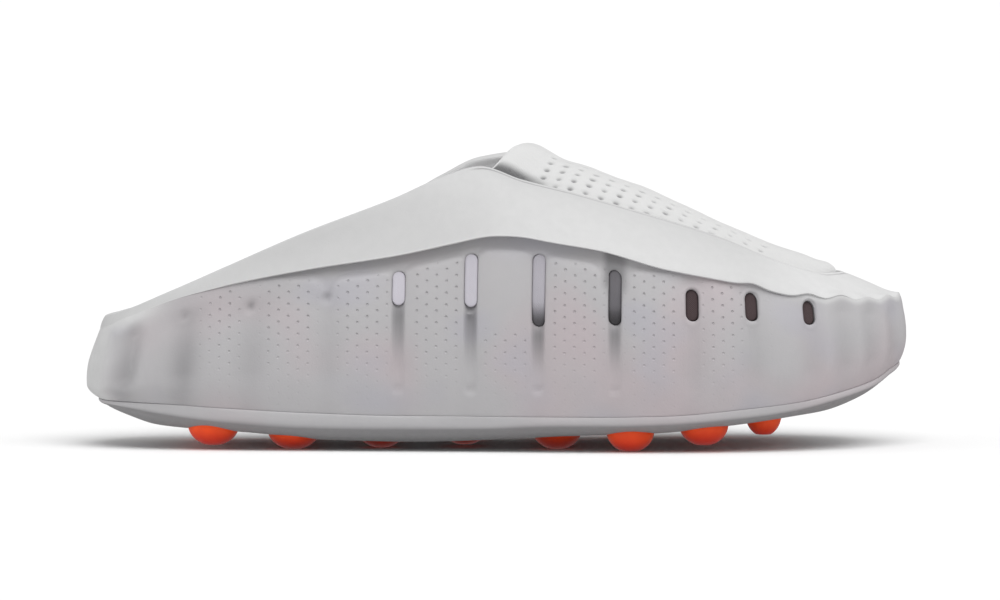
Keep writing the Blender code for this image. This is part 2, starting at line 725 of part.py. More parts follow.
def make_insole():
    """The footbed, dished a little, on the sole's core."""
    t = SOLE_COLUMNS
    rows = Rows()
    core_x, core_y = core_loop(t, CORE_WIDTH_SHARE)
    low = footbed_z(OUT_X(t)) + FIT_GAP
    low_x, low_y = inside_wall(t, low, INSOLE_EDGE_GAP)
    high = low + INSOLE_THICKNESS
    high_x, high_y = inside_wall(t, high, INSOLE_EDGE_GAP)
    chain = []
    for share in (1.0, 0.5):
        x = low_x + (core_x - low_x) * share
        y = low_y + (core_y - low_y) * share
        chain.append(rows.add(flat_row(x, y, footbed_z(x) + FIT_GAP)))
    chain.append(rows.add(flat_row(low_x, low_y, low)))
    chain.append(rows.add(flat_row(high_x, high_y, high)))
    for share in (0.25, 0.6, 1.0):
        x = high_x + (core_x - high_x) * share
        y = high_y + (core_y - high_y) * share
        dish = INSOLE_DISH * share * (2 - share)
        chain.append(rows.add(flat_row(x, y, footbed_z(x) + FIT_GAP + INSOLE_THICKNESS - dish)))
    zip_across(rows.faces, chain[0], rows.points)
    for lower, upper in zip(chain, chain[1:]):
        join_loops(rows.faces, lower, upper)
    zip_across(rows.faces, chain[-1], rows.points)
    return make_object("insole", rows.points, rows.faces, material("insole_grey", INSOLE_GREY, 0.8))


def throat_places():
    """Loop places of the two throat corners, where the rim is highest on each side."""
    half = len(SECTIONS)
    lateral = LOOP_KNOTS[int(np.argmax(ROW_RIM_Z[:half]))]
    medial = LOOP_KNOTS[half - 1 + int(np.argmax(ROW_RIM_Z[half - 1:]))]
    return lateral, medial


def tongue_edge(t):
    """The tongue's edge, just inside the rim of the vamp window and a little lower."""
    rim = inner_surface(t, 2.0 + 0 * t)
    nx, ny = plan_normal(t)
    rim[:, 0] -= nx * FIT_GAP * 2
    rim[:, 1] -= ny * FIT_GAP * 2
    rim[:, 2] -= TONGUE_SINK
    return rim


def tongue_surface(way, across):
    """Top of the tongue at a share of the way from throat to toe and from -1, lateral, to 1, medial."""
    lateral_corner, medial_corner = throat_places()
    lateral = tongue_edge(lateral_corner + (TOE_KNOT - lateral_corner) * way)
    medial = tongue_edge(medial_corner + (TOE_KNOT - medial_corner) * way)
    side = ((np.asarray(across, float) + 1) / 2)[..., None]
    points = lateral * (1 - side) + medial * side
    crown = TONGUE_CROWN * read_table(CROWN, CROWN_COLUMNS, "way", "height", way)
    points[..., 2] += crown * (1 - np.abs(across) ** 2.2)
    points[..., 0] += THROAT_ARC * (1 - np.abs(across) ** 2) * (1.0 - smooth_step(0.0, 0.3, way))
    return points


def make_tongue():
    """The textile panel of the vamp, a curved sheet from the throat to the toe."""
    ways = 1.0 - (1.0 - np.linspace(0.0, 1.0, TONGUE_ROWS + 1)) ** 1.25
    ways = ways[:-1]
    sides = np.linspace(-1.0, 1.0, TONGUE_COLUMNS + 1)
    way_grid, side_grid = np.meshgrid(ways, sides, indexing="ij")
    top = tongue_surface(way_grid.ravel(), side_grid.ravel()).reshape(len(ways), len(sides), 3)
    along = np.gradient(top, axis=0)
    across = np.gradient(top, axis=1)
    normal = np.cross(across, along)
    normal /= np.linalg.norm(normal, axis=-1, keepdims=True)
    normal *= np.sign(normal[..., 2:3])
    low = top - normal * TONGUE_THICKNESS
    low[:, 0, :2] = top[:, 0, :2]
    low[:, -1, :2] = top[:, -1, :2]
    low[:, 0, 2] = top[:, 0, 2] - TONGUE_THICKNESS
    low[:, -1, 2] = top[:, -1, 2] - TONGUE_THICKNESS
    points = np.concatenate([top.reshape(-1, 3), low.reshape(-1, 3)])
    faces = []
    wide = len(sides)
    below = len(ways) * wide
    for i in range(len(ways) - 1):
        for j in range(wide - 1):
            corners = (i * wide + j, i * wide + j + 1, (i + 1) * wide + j + 1, (i + 1) * wide + j)
            faces.append(corners)
            faces.append(tuple(below + k for k in corners[::-1]))
    border = [j for j in range(wide)]
    border += [i * wide + wide - 1 for i in range(1, len(ways))]
    border += [(len(ways) - 1) * wide + j for j in range(wide - 2, -1, -1)]
    border += [i * wide for i in range(len(ways) - 2, 0, -1)]
    for i, first in enumerate(border):
        second = border[(i + 1) % len(border)]
        faces.append((second, first, below + first, below + second))
    return make_object("tongue", points, faces, material("textile_white", TEXTILE_WHITE, 0.85))


def pod_places():
    """Centre, lowest height and radius of each pod, in metres, row by row from the heel."""
    places = []
    for values in POD_ROWS:
        row = dict(zip(POD_COLUMNS, values))
        for side in row["across"]:
            places.append((
                float(from_heel(row["along"])),
                side * BALL_WIDTH,
                row["hang"] * POD_DROP,
                row["radius"] * POD_RADIUS,
            ))
    return places


def pod_ring(radius):
    """Level places round a pod's middle."""
    angles = np.arange(POD_SIDES) * (2 * math.pi / POD_SIDES)
    return radius * np.cos(angles), radius * np.sin(angles)


def make_pod(number, place, made_of):
    """One dome: a round side in its socket, and a rounded end with a small flat where it stands."""
    x, y, low, radius = place
    flat_angle = math.asin(POD_FLAT / radius)
    drop = POD_DROP / math.cos(flat_angle)
    rows = Rows()
    chain = []
    for ring in range(POD_RINGS + 1):
        lift = flat_angle + (math.pi / 2 - flat_angle) * ring / POD_RINGS
        wide = radius * math.sin(lift)
        high = POD_DROP - drop * math.cos(lift)
        chain.append(rows.add(flat_row(*pod_ring(wide), high)))
    chain.append(rows.add(flat_row(*pod_ring(radius), POD_HEIGHT)))
    rows.faces.append(tuple(chain[0]))
    for lower, upper in zip(chain, chain[1:]):
        join_loops(rows.faces, lower, upper)
    rows.faces.append(tuple(chain[-1]))
    pod = make_object(f"pod_{number:02d}", rows.points, rows.faces, made_of)
    pod.location = (x, y, low)
    return pod


def clear_scene():
    for obj in list(bpy.data.objects):
        bpy.data.objects.remove(obj, do_unlink=True)


def main():
    clear_scene()
    make_upper()
    make_sole()
    make_insole()
    make_tongue()
    orange = material("pod_orange", POD_ORANGE, 0.5)
    for number, place in enumerate(pod_places(), 1):
        make_pod(number, place, orange)


main()
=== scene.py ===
"""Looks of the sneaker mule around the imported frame: shell, vamp, linings, footbed, sole and pods.

Everything is in metres. +X points to the toe, +Y to the inner (medial) side and +Z up. Loops round the shoe
start at the back of the heel, run along the outer (lateral) side to the toe and come back on the medial side.
"""

import math
from collections import namedtuple

import bmesh
import bpy
import numpy as np
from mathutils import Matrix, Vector


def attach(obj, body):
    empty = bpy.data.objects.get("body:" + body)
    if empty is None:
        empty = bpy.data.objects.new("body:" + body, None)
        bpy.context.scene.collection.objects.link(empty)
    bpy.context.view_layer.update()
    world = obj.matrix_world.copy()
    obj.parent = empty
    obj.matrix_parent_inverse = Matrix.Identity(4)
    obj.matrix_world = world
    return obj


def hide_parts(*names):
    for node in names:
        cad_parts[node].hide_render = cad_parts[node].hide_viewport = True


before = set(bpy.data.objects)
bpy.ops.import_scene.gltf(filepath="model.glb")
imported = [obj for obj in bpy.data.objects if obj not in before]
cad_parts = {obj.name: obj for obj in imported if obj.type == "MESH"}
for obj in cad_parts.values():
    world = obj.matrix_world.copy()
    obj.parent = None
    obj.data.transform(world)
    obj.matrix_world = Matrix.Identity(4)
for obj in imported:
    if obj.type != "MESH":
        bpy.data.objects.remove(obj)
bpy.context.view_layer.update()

MM = 0.001

# The photograph's view: a long lens a little above the floor, square to the lateral side
IMAGE_WIDTH = 1000
PIXEL_SIZE = 0.368 * MM
CAMERA_DISTANCE = 3.0
CAMERA_ELEVATION = 3.0
LOOK_AT = (0.0009, 0.0, 0.0532)
SENSOR_WIDTH = 36.0

# Sizes of the shoe
LENGTH = 0.302
BALL_WIDTH = 0.106
THROAT_HEIGHT = 0.1045
HEEL_RIM_HEIGHT = 0.0475
TOE_RIM_HEIGHT = 0.0637
SEAM_HEIGHT = 0.0134
FIT_GAP = 0.0003

# Shell
WALL = 0.0045
RIM_WALL = 0.0030
SEAM_TUCK = 0.0030
LEAN_POWER = 2.2
SCALLOP_RISE = 0.0016
SCALLOP_REACH = 0.35
SLOT_WIDTH = 0.0048
SLOT_ROW_SHARE = 0.24
HEEL_GROOVE_REACH = 0.013
LIP_ROUND = 0.8 * MM
RIM_ROLL = 0.6 * MM
SEAM_EDGE_ROUND = 0.10 * MM
SEAM_LINE = 0.08 * MM
TROUGH_SPREAD = 4.8 * MM
CHANNEL_HALF_WIDTH = 2.15 * MM
CHANNEL_FOOT = 21.5 * MM
STRIP_HEIGHT = 4.3 * MM
STRIP_DEPTH = 1.60 * MM
PANEL_CORNER = 5.0 * MM
BEAD_WIDTH = 1.25 * MM
BEAD_DEPTH = 0.45 * MM
BEAD_LINE = 0.30 * MM

# Dimples of the ribs
DIMPLE_COLUMN = 3.6
DIMPLE_PITCH = 4.3
DIMPLE_WIDTH = 0.72

# Lining
LINING_THICKNESS = 0.0006
LINING_GAP = 0.0004
LINING_END = 0.690
LINING_TOP = 1.72
TOE_LINING_START = LINING_END - 0.012
TOE_LINING_GAP = LINING_GAP + 0.9 * MM
PAD_GAP = 0.05 * MM

# Sole
RIM_BAND_PROUD = 0.0002
TURN_INSET = 0.0018
UNDERSIDE_HEIGHT = 0.0023
UNDERSIDE_POWER = 7.0
CORE_WIDTH_SHARE = 0.10
PLATEAU_HEIGHT = 0.0300
CORE_GAP = 0.0007

# Footbed
INSOLE_THICKNESS = 0.0040
INSOLE_EDGE_GAP = 0.0009
INSOLE_DISH = 0.0015
INSOLE_EDGE_ROUND = 0.0012

# Vamp panel
TONGUE_THICKNESS = 0.0024
TONGUE_CROWN = 0.0082
TONGUE_SINK = 0.0008
THROAT_ARC = 0.0065
PUFF_RADIUS = 0.0024
POCKET_DEPTH = 0.0012
PANEL_LINE = 0.0022
HOLE_PITCH = 0.0056
HOLE_ROW_PITCH = 0.0047
HOLE_RADIUS = 0.00095
HOLE_DEPTH = 0.0014
HOLE_SKEW = 0.30
HOLES_START = 0.0120
# Small holes in the pocket under the puff, in millimetres: along the shoe, and from the panel's edge
POCKET_HOLES = ((4.6, 9.6), (7.2, 9.0), (9.6, 8.4), (10.8, 6.6))

# Pods
POD_RADIUS = 0.0092
POD_DROP = 0.0075
POD_HEIGHT = 0.0100
POD_FLAT = 0.0026

# Sections of the shell, from the back of the heel to the tip of the toe.
# along and rim_along are shares of LENGTH. The half widths out_ and rim_ are shares of BALL_WIDTH.
# rise_ is the share of the way from the heel or toe rim height up to the throat height.
# seam is a share of SEAM_HEIGHT, tuck a share of SEAM_TUCK, turn a share of the seam's own height.
# bulge and edge are shares of the way up: seam to edge, and seam to rim.
# lean and lip are shares of BALL_WIDTH: how far the wall's top leans in and the band overhangs it.
SECTION_COLUMNS = (
    "along", "out_lat", "out_med", "rim_along", "rim_lat", "rim_med", "rise_lat", "rise_med",
    "seam", "tuck", "turn", "bulge", "edge", "lean", "lip",
)
SECTIONS = (
    (0.000, 0.000, 0.000, 0.022, 0.000, 0.000, 0.000, 0.000, 1.31, 1.45, 0.90, 0.18, 0.85, 0.045, 0.000),
    (0.013, 0.160, 0.160, 0.032, 0.127, 0.127, 0.018, 0.010, 1.29, 1.40, 0.88, 0.18, 0.87, 0.044, 0.000),
    (0.043, 0.259, 0.255, 0.057, 0.212, 0.212, 0.072, 0.040, 1.29, 1.15, 0.83, 0.20, 0.90, 0.043, 0.001),
    (0.093, 0.330, 0.321, 0.103, 0.274, 0.270, 0.180, 0.115, 1.27, 0.85, 0.73, 0.23, 0.90, 0.043, 0.003),
    (0.167, 0.368, 0.358, 0.172, 0.307, 0.300, 0.340, 0.270, 1.18, 0.60, 0.62, 0.25, 0.86, 0.047, 0.008),
    (0.267, 0.392, 0.377, 0.263, 0.325, 0.315, 0.548, 0.485, 1.07, 0.50, 0.545, 0.26, 0.80, 0.050, 0.017),
    (0.383, 0.415, 0.387, 0.372, 0.316, 0.310, 0.770, 0.710, 1.00, 0.45, 0.56, 0.27, 0.745, 0.052, 0.025),
    (0.447, 0.433, 0.394, 0.433, 0.292, 0.300, 0.913, 0.890, 1.00, 0.45, 0.58, 0.27, 0.724, 0.053, 0.028),
    (0.500, 0.448, 0.406, 0.480, 0.259, 0.285, 0.973, 1.010, 0.99, 0.45, 0.61, 0.27, 0.724, 0.053, 0.030),
    (0.547, 0.464, 0.423, 0.530, 0.259, 0.270, 0.854, 1.060, 0.99, 0.45, 0.65, 0.28, 0.750, 0.053, 0.029),
    (0.617, 0.486, 0.448, 0.593, 0.255, 0.262, 0.735, 0.760, 0.99, 0.45, 0.67, 0.29, 0.750, 0.051, 0.024),
    (0.707, 0.498, 0.486, 0.680, 0.250, 0.258, 0.550, 0.550, 1.03, 0.45, 0.70, 0.31, 0.724, 0.048, 0.017),
    (0.793, 0.476, 0.495, 0.763, 0.226, 0.245, 0.355, 0.355, 1.19, 0.50, 0.74, 0.33, 0.727, 0.043, 0.013),
    (0.867, 0.415, 0.458, 0.830, 0.184, 0.215, 0.150, 0.150, 1.37, 0.60, 0.80, 0.35, 0.735, 0.038, 0.011),
    (0.923, 0.325, 0.387, 0.873, 0.150, 0.188, 0.045, 0.045, 1.63, 0.75, 0.845, 0.37, 0.760, 0.032, 0.010),
    (0.963, 0.217, 0.288, 0.898, 0.108, 0.160, 0.000, 0.000, 1.88, 0.90, 0.87, 0.39, 0.745, 0.028, 0.009),
    (0.990, 0.085, 0.160, 0.914, 0.040, 0.104, 0.000, 0.000, 2.18, 1.00, 0.90, 0.40, 0.725, 0.028, 0.009),
    (1.000, -0.038, 0.038, 0.920, -0.033, 0.033, 0.000, 0.000, 2.28, 1.00, 0.92, 0.40, 0.718, 0.029, 0.009),
)

# Grooves between the ribs: where they lie along LENGTH, the slot's start and end as shares of the wall's height
# (the same where there is no slot), and in millimetres the depth of the broad trough, of the scoop below the
# slot and of the pit at the trough's head. top is the share of the wall's height where the trough ends, shade
# how much painted shade darkens the trough, funnel in millimetres how wide the groove opens at its head,
# spread the trough's width as a share of TROUGH_SPREAD, and slant how many millimetres it leans forward over
# the wall's height.
GROOVE_COLUMNS = (
    "along", "slot_foot", "slot_head", "trough", "scoop", "pit", "top", "shade", "funnel", "spread", "slant",
)
GROOVES = (
    (0.049, 0.62, 0.62, 2.5, 0.0, 0.0, 0.95, 0.34, 1.2, 1.05, 5.0),
    (0.121, 0.62, 0.62, 2.2, 0.0, 0.6, 0.92, 0.38, 1.2, 1.15, 3.5),
    (0.202, 0.66, 0.66, 1.3, 0.0, 1.1, 0.90, 0.16, 1.2, 1.2, 2.0),
    (0.294, 0.69, 0.69, 1.1, 0.0, 1.3, 0.90, 0.10, 1.2, 1.0, 0.0),
    (0.380, 0.69, 0.90, 0.8, 1.5, 0.0, 1.10, 0.06, 1.2, 1.0, 0.0),
    (0.467, 0.62, 0.92, 0.8, 2.0, 0.0, 1.10, 0.06, 1.2, 1.0, 0.0),
    (0.548, 0.51, 0.92, 0.8, 1.6, 0.0, 1.10, 0.06, 1.2, 1.0, 0.0),
    (0.640, 0.565, 0.91, 0.9, 1.3, 0.0, 1.10, 0.08, 4.2, 1.0, 0.0),
    (0.734, 0.67, 0.90, 1.1, 0.2, 0.0, 1.10, 0.10, 1.6, 1.0, 0.0),
    (0.807, 0.70, 0.93, 1.1, 0.2, 0.0, 1.10, 0.10, 1.2, 1.0, 0.0),
    (0.879, 0.71, 0.94, 1.2, 0.1, 0.0, 1.05, 0.10, 1.2, 1.0, 0.0),
    (0.921, 0.72, 0.72, 1.3, 0.0, 0.0, 1.02, 0.14, 1.2, 1.0, 0.0),
    (0.956, 0.72, 0.72, 1.4, 0.0, 0.0, 1.00, 0.14, 1.2, 1.0, 0.0),
    (0.983, 0.72, 0.72, 1.1, 0.0, 0.0, 0.96, 0.12, 1.2, 1.0, 0.0),
)
HEEL_GROOVE = (0.62, 0.62, 0.9, 0.0, 0.0, 0.80, 0.05, 1.2, 1.3, 0.0)
TOE_GROOVE = (0.72, 0.72, 0.5, 0.0, 0.0, 0.95, 0.04, 1.2, 1.0, 0.0)

# Textile that fills the slots from behind: the slot's place along LENGTH, how deep in millimetres the textile
# lies at the slot's head and foot, and how much painted shade darkens it there
PADS = (
    (0.380, 0.20, 0.25, 0.03, 0.03),
    (0.467, 0.20, 0.30, 0.08, 0.08),
    (0.548, 0.40, 2.40, 0.30, 0.95),
    (0.640, 1.50, 3.00, 0.84, 1.00),
)
# Near-black pads behind the front slots: partly their own colour, partly painted shade of the toe box's inside
TOE_PADS = (
    (0.734, 0.90, 0.90, 0.00, 0.00),
    (0.807, 0.80, 0.80, 0.00, 0.00),
    (0.879, 0.70, 0.70, 0.00, 0.00),
)
# Steps of a pad from its back over its rounded rim, in millimetres: in from the slot's edge, and depth
PAD_STEPS = ((0.0, WALL / MM), (0.0, 0.60), (0.06, 0.30), (0.25, 0.12), (0.7, 0.03), (1.2, 0.0), (1.8, -0.04))

# Centre line of the underside: where along LENGTH, and how high as a share of UNDERSIDE_HEIGHT
ROCKER = (
    (0.013, 7.5), (0.027, 6.4), (0.050, 5.2), (0.087, 3.7), (0.123, 3.2), (0.197, 2.6),
    (0.300, 1.4), (0.400, 1.15), (0.500, 1.6), (0.583, 2.2), (0.693, 2.7), (0.783, 3.9),
    (0.857, 5.2), (0.895, 5.9), (0.933, 7.5), (0.967, 9.7), (0.987, 12.0),
)

# Top of the sole's core under the footbed: where along LENGTH, and the share of PLATEAU_HEIGHT
FOOTBED = (
    (0.00, 1.06), (0.12, 1.00), (0.28, 0.98), (0.45, 1.02),
    (0.60, 0.94), (0.72, 0.86), (0.85, 0.92), (1.00, 1.10),
)

# Crown of the vamp over its edges: share of the way from throat to toe, and the share of TONGUE_CROWN
CROWN = (
    (0.00, 1.00), (0.06, 1.33), (0.11, 1.46), (0.20, 1.60), (0.32, 1.51),
    (0.50, 1.08), (0.70, 1.04), (0.85, 0.90), (0.94, 0.62), (1.00, 0.20),
)

# Rows of pods: where along LENGTH, how high the domes' ends hang as a share of POD_DROP, the share of
# POD_RADIUS, then the places across as shares of BALL_WIDTH, the lateral side first
POD_ROWS = (
    (0.1565, 0.20, 1.02, (-0.22, 0.00, 0.21)),
    (0.2535, 0.00, 1.06, (-0.21, 0.00, 0.21)),
    (0.359, 0.00, 1.00, (-0.13, 0.12)),
    (0.460, 0.12, 1.00, (-0.10, 0.17)),
    (0.572, 0.00, 1.00, (-0.21, 0.01, 0.23)),
    (0.660, 0.00, 0.95, (-0.35, -0.02, 0.32)),
    (0.7485, 0.30, 0.98, (-0.33, 0.00, 0.33)),
    (0.8215, 0.72, 0.72, (-0.24, 0.02, 0.28)),
)


# Curves through the tables

def smooth_step(low, high, value):
    """0 below low, 1 above high and a smooth rise between."""
    share = np.clip((np.asarray(value, float) - low) / (high - low), 0.0, 1.0)
    return share * share * (3.0 - 2.0 * share)


def hill(value, width):
    """1 where the value is 0, falling away smoothly over the width on both sides."""
    return np.exp(-((value / width) ** 2))


def steady_slopes(knots, values, ends):
    """Slopes for a curve through the values that never overshoots them; ends is "wrap" where it is closed."""
    step = np.pad(np.diff(knots), 1, ends)
    rate = np.pad(np.diff(values) / np.diff(knots), 1, ends)
    before, after = rate[:-1], rate[1:]
    weight_a = 2.0 * step[1:] + step[:-1]
    weight_b = step[1:] + 2.0 * step[:-1]
    safe_a = np.where(before == 0.0, 1.0, before)
    safe_b = np.where(after == 0.0, 1.0, after)
    mean = (weight_a + weight_b) / (weight_a / safe_a + weight_b / safe_b)
    return np.where(before * after > 0.0, mean, 0.0)


def free_slopes(knots, values):
    """Slopes of the smoothest closed curve through the values; the last value repeats the first."""
    step = np.diff(knots)
    rate = np.diff(values) / step
    i = np.arange(len(step))
    matrix = np.zeros((len(step), len(step)))
    matrix[i, i - 1] = 1.0 / step[i - 1]
    matrix[i, i] = 2.0 / step[i - 1] + 2.0 / step
    matrix[i - 1, i] = 1.0 / step[i - 1]
    slopes = np.linalg.solve(matrix, 3.0 * (rate[i - 1] / step[i - 1] + rate / step))
    return np.append(slopes, slopes[0])


def on_curve(knots, values, slopes, at):
    """Cubic curve with the given slopes, read at the places asked for."""
    at = np.asarray(at, float)
    i = np.clip(np.searchsorted(knots, at, side="right") - 1, 0, len(knots) - 2)
    step = knots[i + 1] - knots[i]
    s = (at - knots[i]) / step
    start = (2 * s**3 - 3 * s**2 + 1) * values[i] + (s**3 - 2 * s**2 + s) * step * slopes[i]
    end = (-2 * s**3 + 3 * s**2) * values[i + 1] + (s**3 - s**2) * step * slopes[i + 1]
    return start + end


def read_table(table, at):
    """The second column of a table, read between its rows at places along the first."""
    knots, values = np.array(table).T
    return on_curve(knots, values, steady_slopes(knots, values, "edge"), np.clip(at, knots[0], knots[-1]))


def round_the_shoe(lateral, medial):
    """Values in the order of the loops: heel, lateral side, toe, medial side and the heel again."""
    return np.concatenate([lateral, medial[-2::-1]])


def section(name):
    """One named column of the sections."""
    return np.array(SECTIONS)[:, SECTION_COLUMNS.index(name)]


def from_heel(share):
    """X of a place given as a share of the length from the heel."""
    return (np.asarray(share, float) - 0.5) * LENGTH


def rim_heights(rise):
    """Heights of the rim: from the heel up to the throat, then from the toe up to the throat."""
    base = np.where(section("along") < 0.5, HEEL_RIM_HEIGHT, TOE_RIM_HEIGHT)
    return base + (THROAT_HEIGHT - base) * section(rise)


ROW_OUT_X = round_the_shoe(from_heel(section("along")), from_heel(section("along")))
ROW_OUT_Y = round_the_shoe(-section("out_lat") * BALL_WIDTH, section("out_med") * BALL_WIDTH)
ROW_RIM_X = round_the_shoe(from_heel(section("rim_along")), from_heel(section("rim_along")))
ROW_RIM_Y = round_the_shoe(-section("rim_lat") * BALL_WIDTH, section("rim_med") * BALL_WIDTH)
ROW_RIM_Z = round_the_shoe(rim_heights("rise_lat"), rim_heights("rise_med"))
LOOP_KNOTS = np.append(0.0, np.cumsum(np.hypot(np.diff(ROW_OUT_X), np.diff(ROW_OUT_Y))))
LOOP_LENGTH = LOOP_KNOTS[-1]
TOE_KNOT = LOOP_KNOTS[len(SECTIONS) - 1]


def loop_curve(values, slopes):
    """A closed curve through the values at the section rows."""
    return lambda t: on_curve(LOOP_KNOTS, values, slopes, np.mod(t, LOOP_LENGTH))


def free_loop(values):
    return loop_curve(values, free_slopes(LOOP_KNOTS, values))


def steady_loop(values):
    return loop_curve(values, steady_slopes(LOOP_KNOTS, values, "wrap"))


def both_sides(name):
    return steady_loop(round_the_shoe(section(name), section(name)))


OUT_X, OUT_Y, RIM_X, RIM_Y = map(free_loop, (ROW_OUT_X, ROW_OUT_Y, ROW_RIM_X, ROW_RIM_Y))
RIM_Z = steady_loop(ROW_RIM_Z)
SEAM, TUCK, TURN, BULGE = map(both_sides, ("seam", "tuck", "turn", "bulge"))
EDGE, LEAN, ALONG, FULL_LIP = map(both_sides, ("edge", "lean", "along", "lip"))
FINE = np.linspace(0.0, LOOP_LENGTH, 4001)
FINE_X = OUT_X(FINE)
TOE_AT = int(np.argmax(FINE_X))


# Plain surfaces of the shell

def lip(t):
    """How far the band overhangs the wall; nothing at the heel and at the tip of the toe."""
    along = ALONG(t)
    return FULL_LIP(t) * BALL_WIDTH * smooth_step(0.09, 0.20, along) * (1.0 - smooth_step(0.84, 0.95, along))


def out_way(t):
    """Direction that points out of the shoe, level, at a place on the outer loop."""
    small = LOOP_LENGTH / 4000.0
    dx = OUT_X(t + small) - OUT_X(t - small)
    dy = OUT_Y(t + small) - OUT_Y(t - small)
    size = np.hypot(dx, dy)
    return np.stack([dy / size, -dx / size, 0.0 * dx], axis=-1)


def seam_z(t):
    return SEAM(t) * SEAM_HEIGHT


def loop_places_of(share):
    """The two loop places, lateral and medial, at a share of the length from the heel."""
    x = from_heel(share)
    lateral = np.interp(x, FINE_X[: TOE_AT + 1], FINE[: TOE_AT + 1])
    medial = np.interp(x, FINE_X[TOE_AT:][::-1], FINE[TOE_AT:][::-1])
    return float(lateral), float(medial)


Groove = namedtuple("Groove", ("place", *GROOVE_COLUMNS[1:]))


def groove_places():
    """Loop place and form of each groove, in loop order."""
    found = [(HEEL_GROOVE_REACH, HEEL_GROOVE), (LOOP_LENGTH - HEEL_GROOVE_REACH, HEEL_GROOVE)]
    found.append((float(FINE[TOE_AT]), TOE_GROOVE))
    found += [(place, row[1:]) for row in GROOVES for place in loop_places_of(row[0])]
    return [Groove(place, *form) for place, form in sorted(found)]


GROOVE_PLACES = groove_places()
SLOTS = [groove for groove in GROOVE_PLACES if groove.slot_head > groove.slot_foot]


def arc_from(t, place):
    """Signed way round the loop from a place."""
    return np.mod(np.asarray(t, float) - place + LOOP_LENGTH / 2, LOOP_LENGTH) - LOOP_LENGTH / 2


def to_nearest_groove(t):
    return np.min([np.abs(arc_from(t, groove.place)) for groove in GROOVE_PLACES], axis=0)


def scallop(t):
    """How far the band's lower edge rises over each groove towards the toe."""
    near = hill(to_nearest_groove(t), TROUGH_SPREAD)
    return SCALLOP_RISE * smooth_step(0.74, 0.84, ALONG(t)) * near


def edge_z(t):
    """Height of the top band's lower edge."""
    return seam_z(t) + EDGE(t) * (RIM_Z(t) - seam_z(t)) + scallop(t)


def wall_z(t, h):
    """Height at the share h of the wall, from the seam to the band's lower edge."""
    return seam_z(t) + (edge_z(t) - seam_z(t)) * h


def wall_share(t, z):
    return (z - seam_z(t)) / (edge_z(t) - seam_z(t))


def wall_inset(t, h):
    """How far the plain wall lies inside the outer loop at the share h of its height."""
    bulge = BULGE(t)
    below = TUCK(t) * SEAM_TUCK * np.clip(1.0 - h / bulge, 0.0, 1.0) ** 2
    above = LEAN(t) * BALL_WIDTH * np.clip((h - bulge) / (1.0 - bulge), 0.0, 1.0) ** LEAN_POWER
    return below + above


def wall_point(t, h, inward):
    """Point at the share h of the wall's height, inward of the outer loop by the distance given."""
    return np.stack([OUT_X(t), OUT_Y(t), wall_z(t, h)], axis=-1) - out_way(t) * np.asarray(inward)[..., None]


def plain_wall(t, h):
    return wall_point(t, h, wall_inset(t, h))


def plain_band(t, q):
    """The top band without its lip, from the wall's top at q = 0 to the rim at q = 1."""
    start = plain_wall(t, np.ones_like(np.asarray(t, float)))
    rise = scallop(t)
    start[..., 2] -= rise
    end = np.stack([RIM_X(t), RIM_Y(t), RIM_Z(t)], axis=-1)
    blunt = smooth_step(0.80, 0.95, ALONG(t))
    across = (0.36 + 0.10 * blunt)[..., None]
    upward = (0.66 - 0.12 * blunt)[..., None]
    middle = start + (end - start) * np.concatenate([across, across, upward], axis=-1)
    rise = rise * np.clip(1.0 - np.asarray(q, float) / SCALLOP_REACH, 0.0, 1.0) ** 2
    q = np.asarray(q, float)[..., None]
    points = start * (1 - q) ** 2 + middle * 2 * q * (1 - q) + end * q**2
    points[..., 2] += rise
    return points


def plain_surface(t, v):
    """The shell's outside without ribs and lip: the wall for v from 0 to 1, the band from 1 to 2."""
    t, v = np.broadcast_arrays(np.asarray(t, float), np.asarray(v, float))
    wall = plain_wall(t, np.clip(v, 0.0, 1.0))
    band = plain_band(t, np.clip(v - 1.0, 0.0, 1.0))
    return np.where((v <= 1.0)[..., None], wall, band)


def surface_normal(t, v):
    """Outward direction of the plain surface, at right angles to it."""
    t, v = np.broadcast_arrays(np.asarray(t, float), np.asarray(v, float))
    small_t = LOOP_LENGTH / 400.0
    round_way = plain_surface(t + small_t, v) - plain_surface(t - small_t, v)
    up_way = plain_surface(t, np.minimum(v + 0.06, 2.0)) - plain_surface(t, np.maximum(v - 0.06, 0.0))
    normal = np.cross(round_way, up_way)
    return normal / np.linalg.norm(normal, axis=-1, keepdims=True)


def inner_surface(t, v):
    """The shell's inside, a wall's thickness from the plain surface and thinner at the rim."""
    t, v = np.broadcast_arrays(np.asarray(t, float), np.asarray(v, float))
    thickness = WALL + (RIM_WALL - WALL) * smooth_step(1.0, 2.0, v)
    points = plain_surface(t, v) - surface_normal(t, v) * thickness[..., None]
    points[..., 2] = np.where(v <= 0.0, seam_z(t), points[..., 2])
    return points


# Relief of the ribs

def slot_reach(groove):
    """Heights of a slot's foot and head."""
    place = np.array(groove.place)
    return wall_z(place, groove.slot_foot), wall_z(place, groove.slot_head)


def stadium(s, z, low, high, half):
    """Distance outside a rounded upright slot of the given half width; negative inside it."""
    beyond = np.maximum(np.maximum(low + half - z, z - (high - half)), 0.0)
    return np.hypot(s, beyond) - half


def strip_window(t):
    """1 where a flat strip shows between the ribs' tops and the band, 0 towards heel and toe."""
    return smooth_step(0.19, 0.33, ALONG(t)) * (1.0 - smooth_step(0.62, 0.73, ALONG(t)))


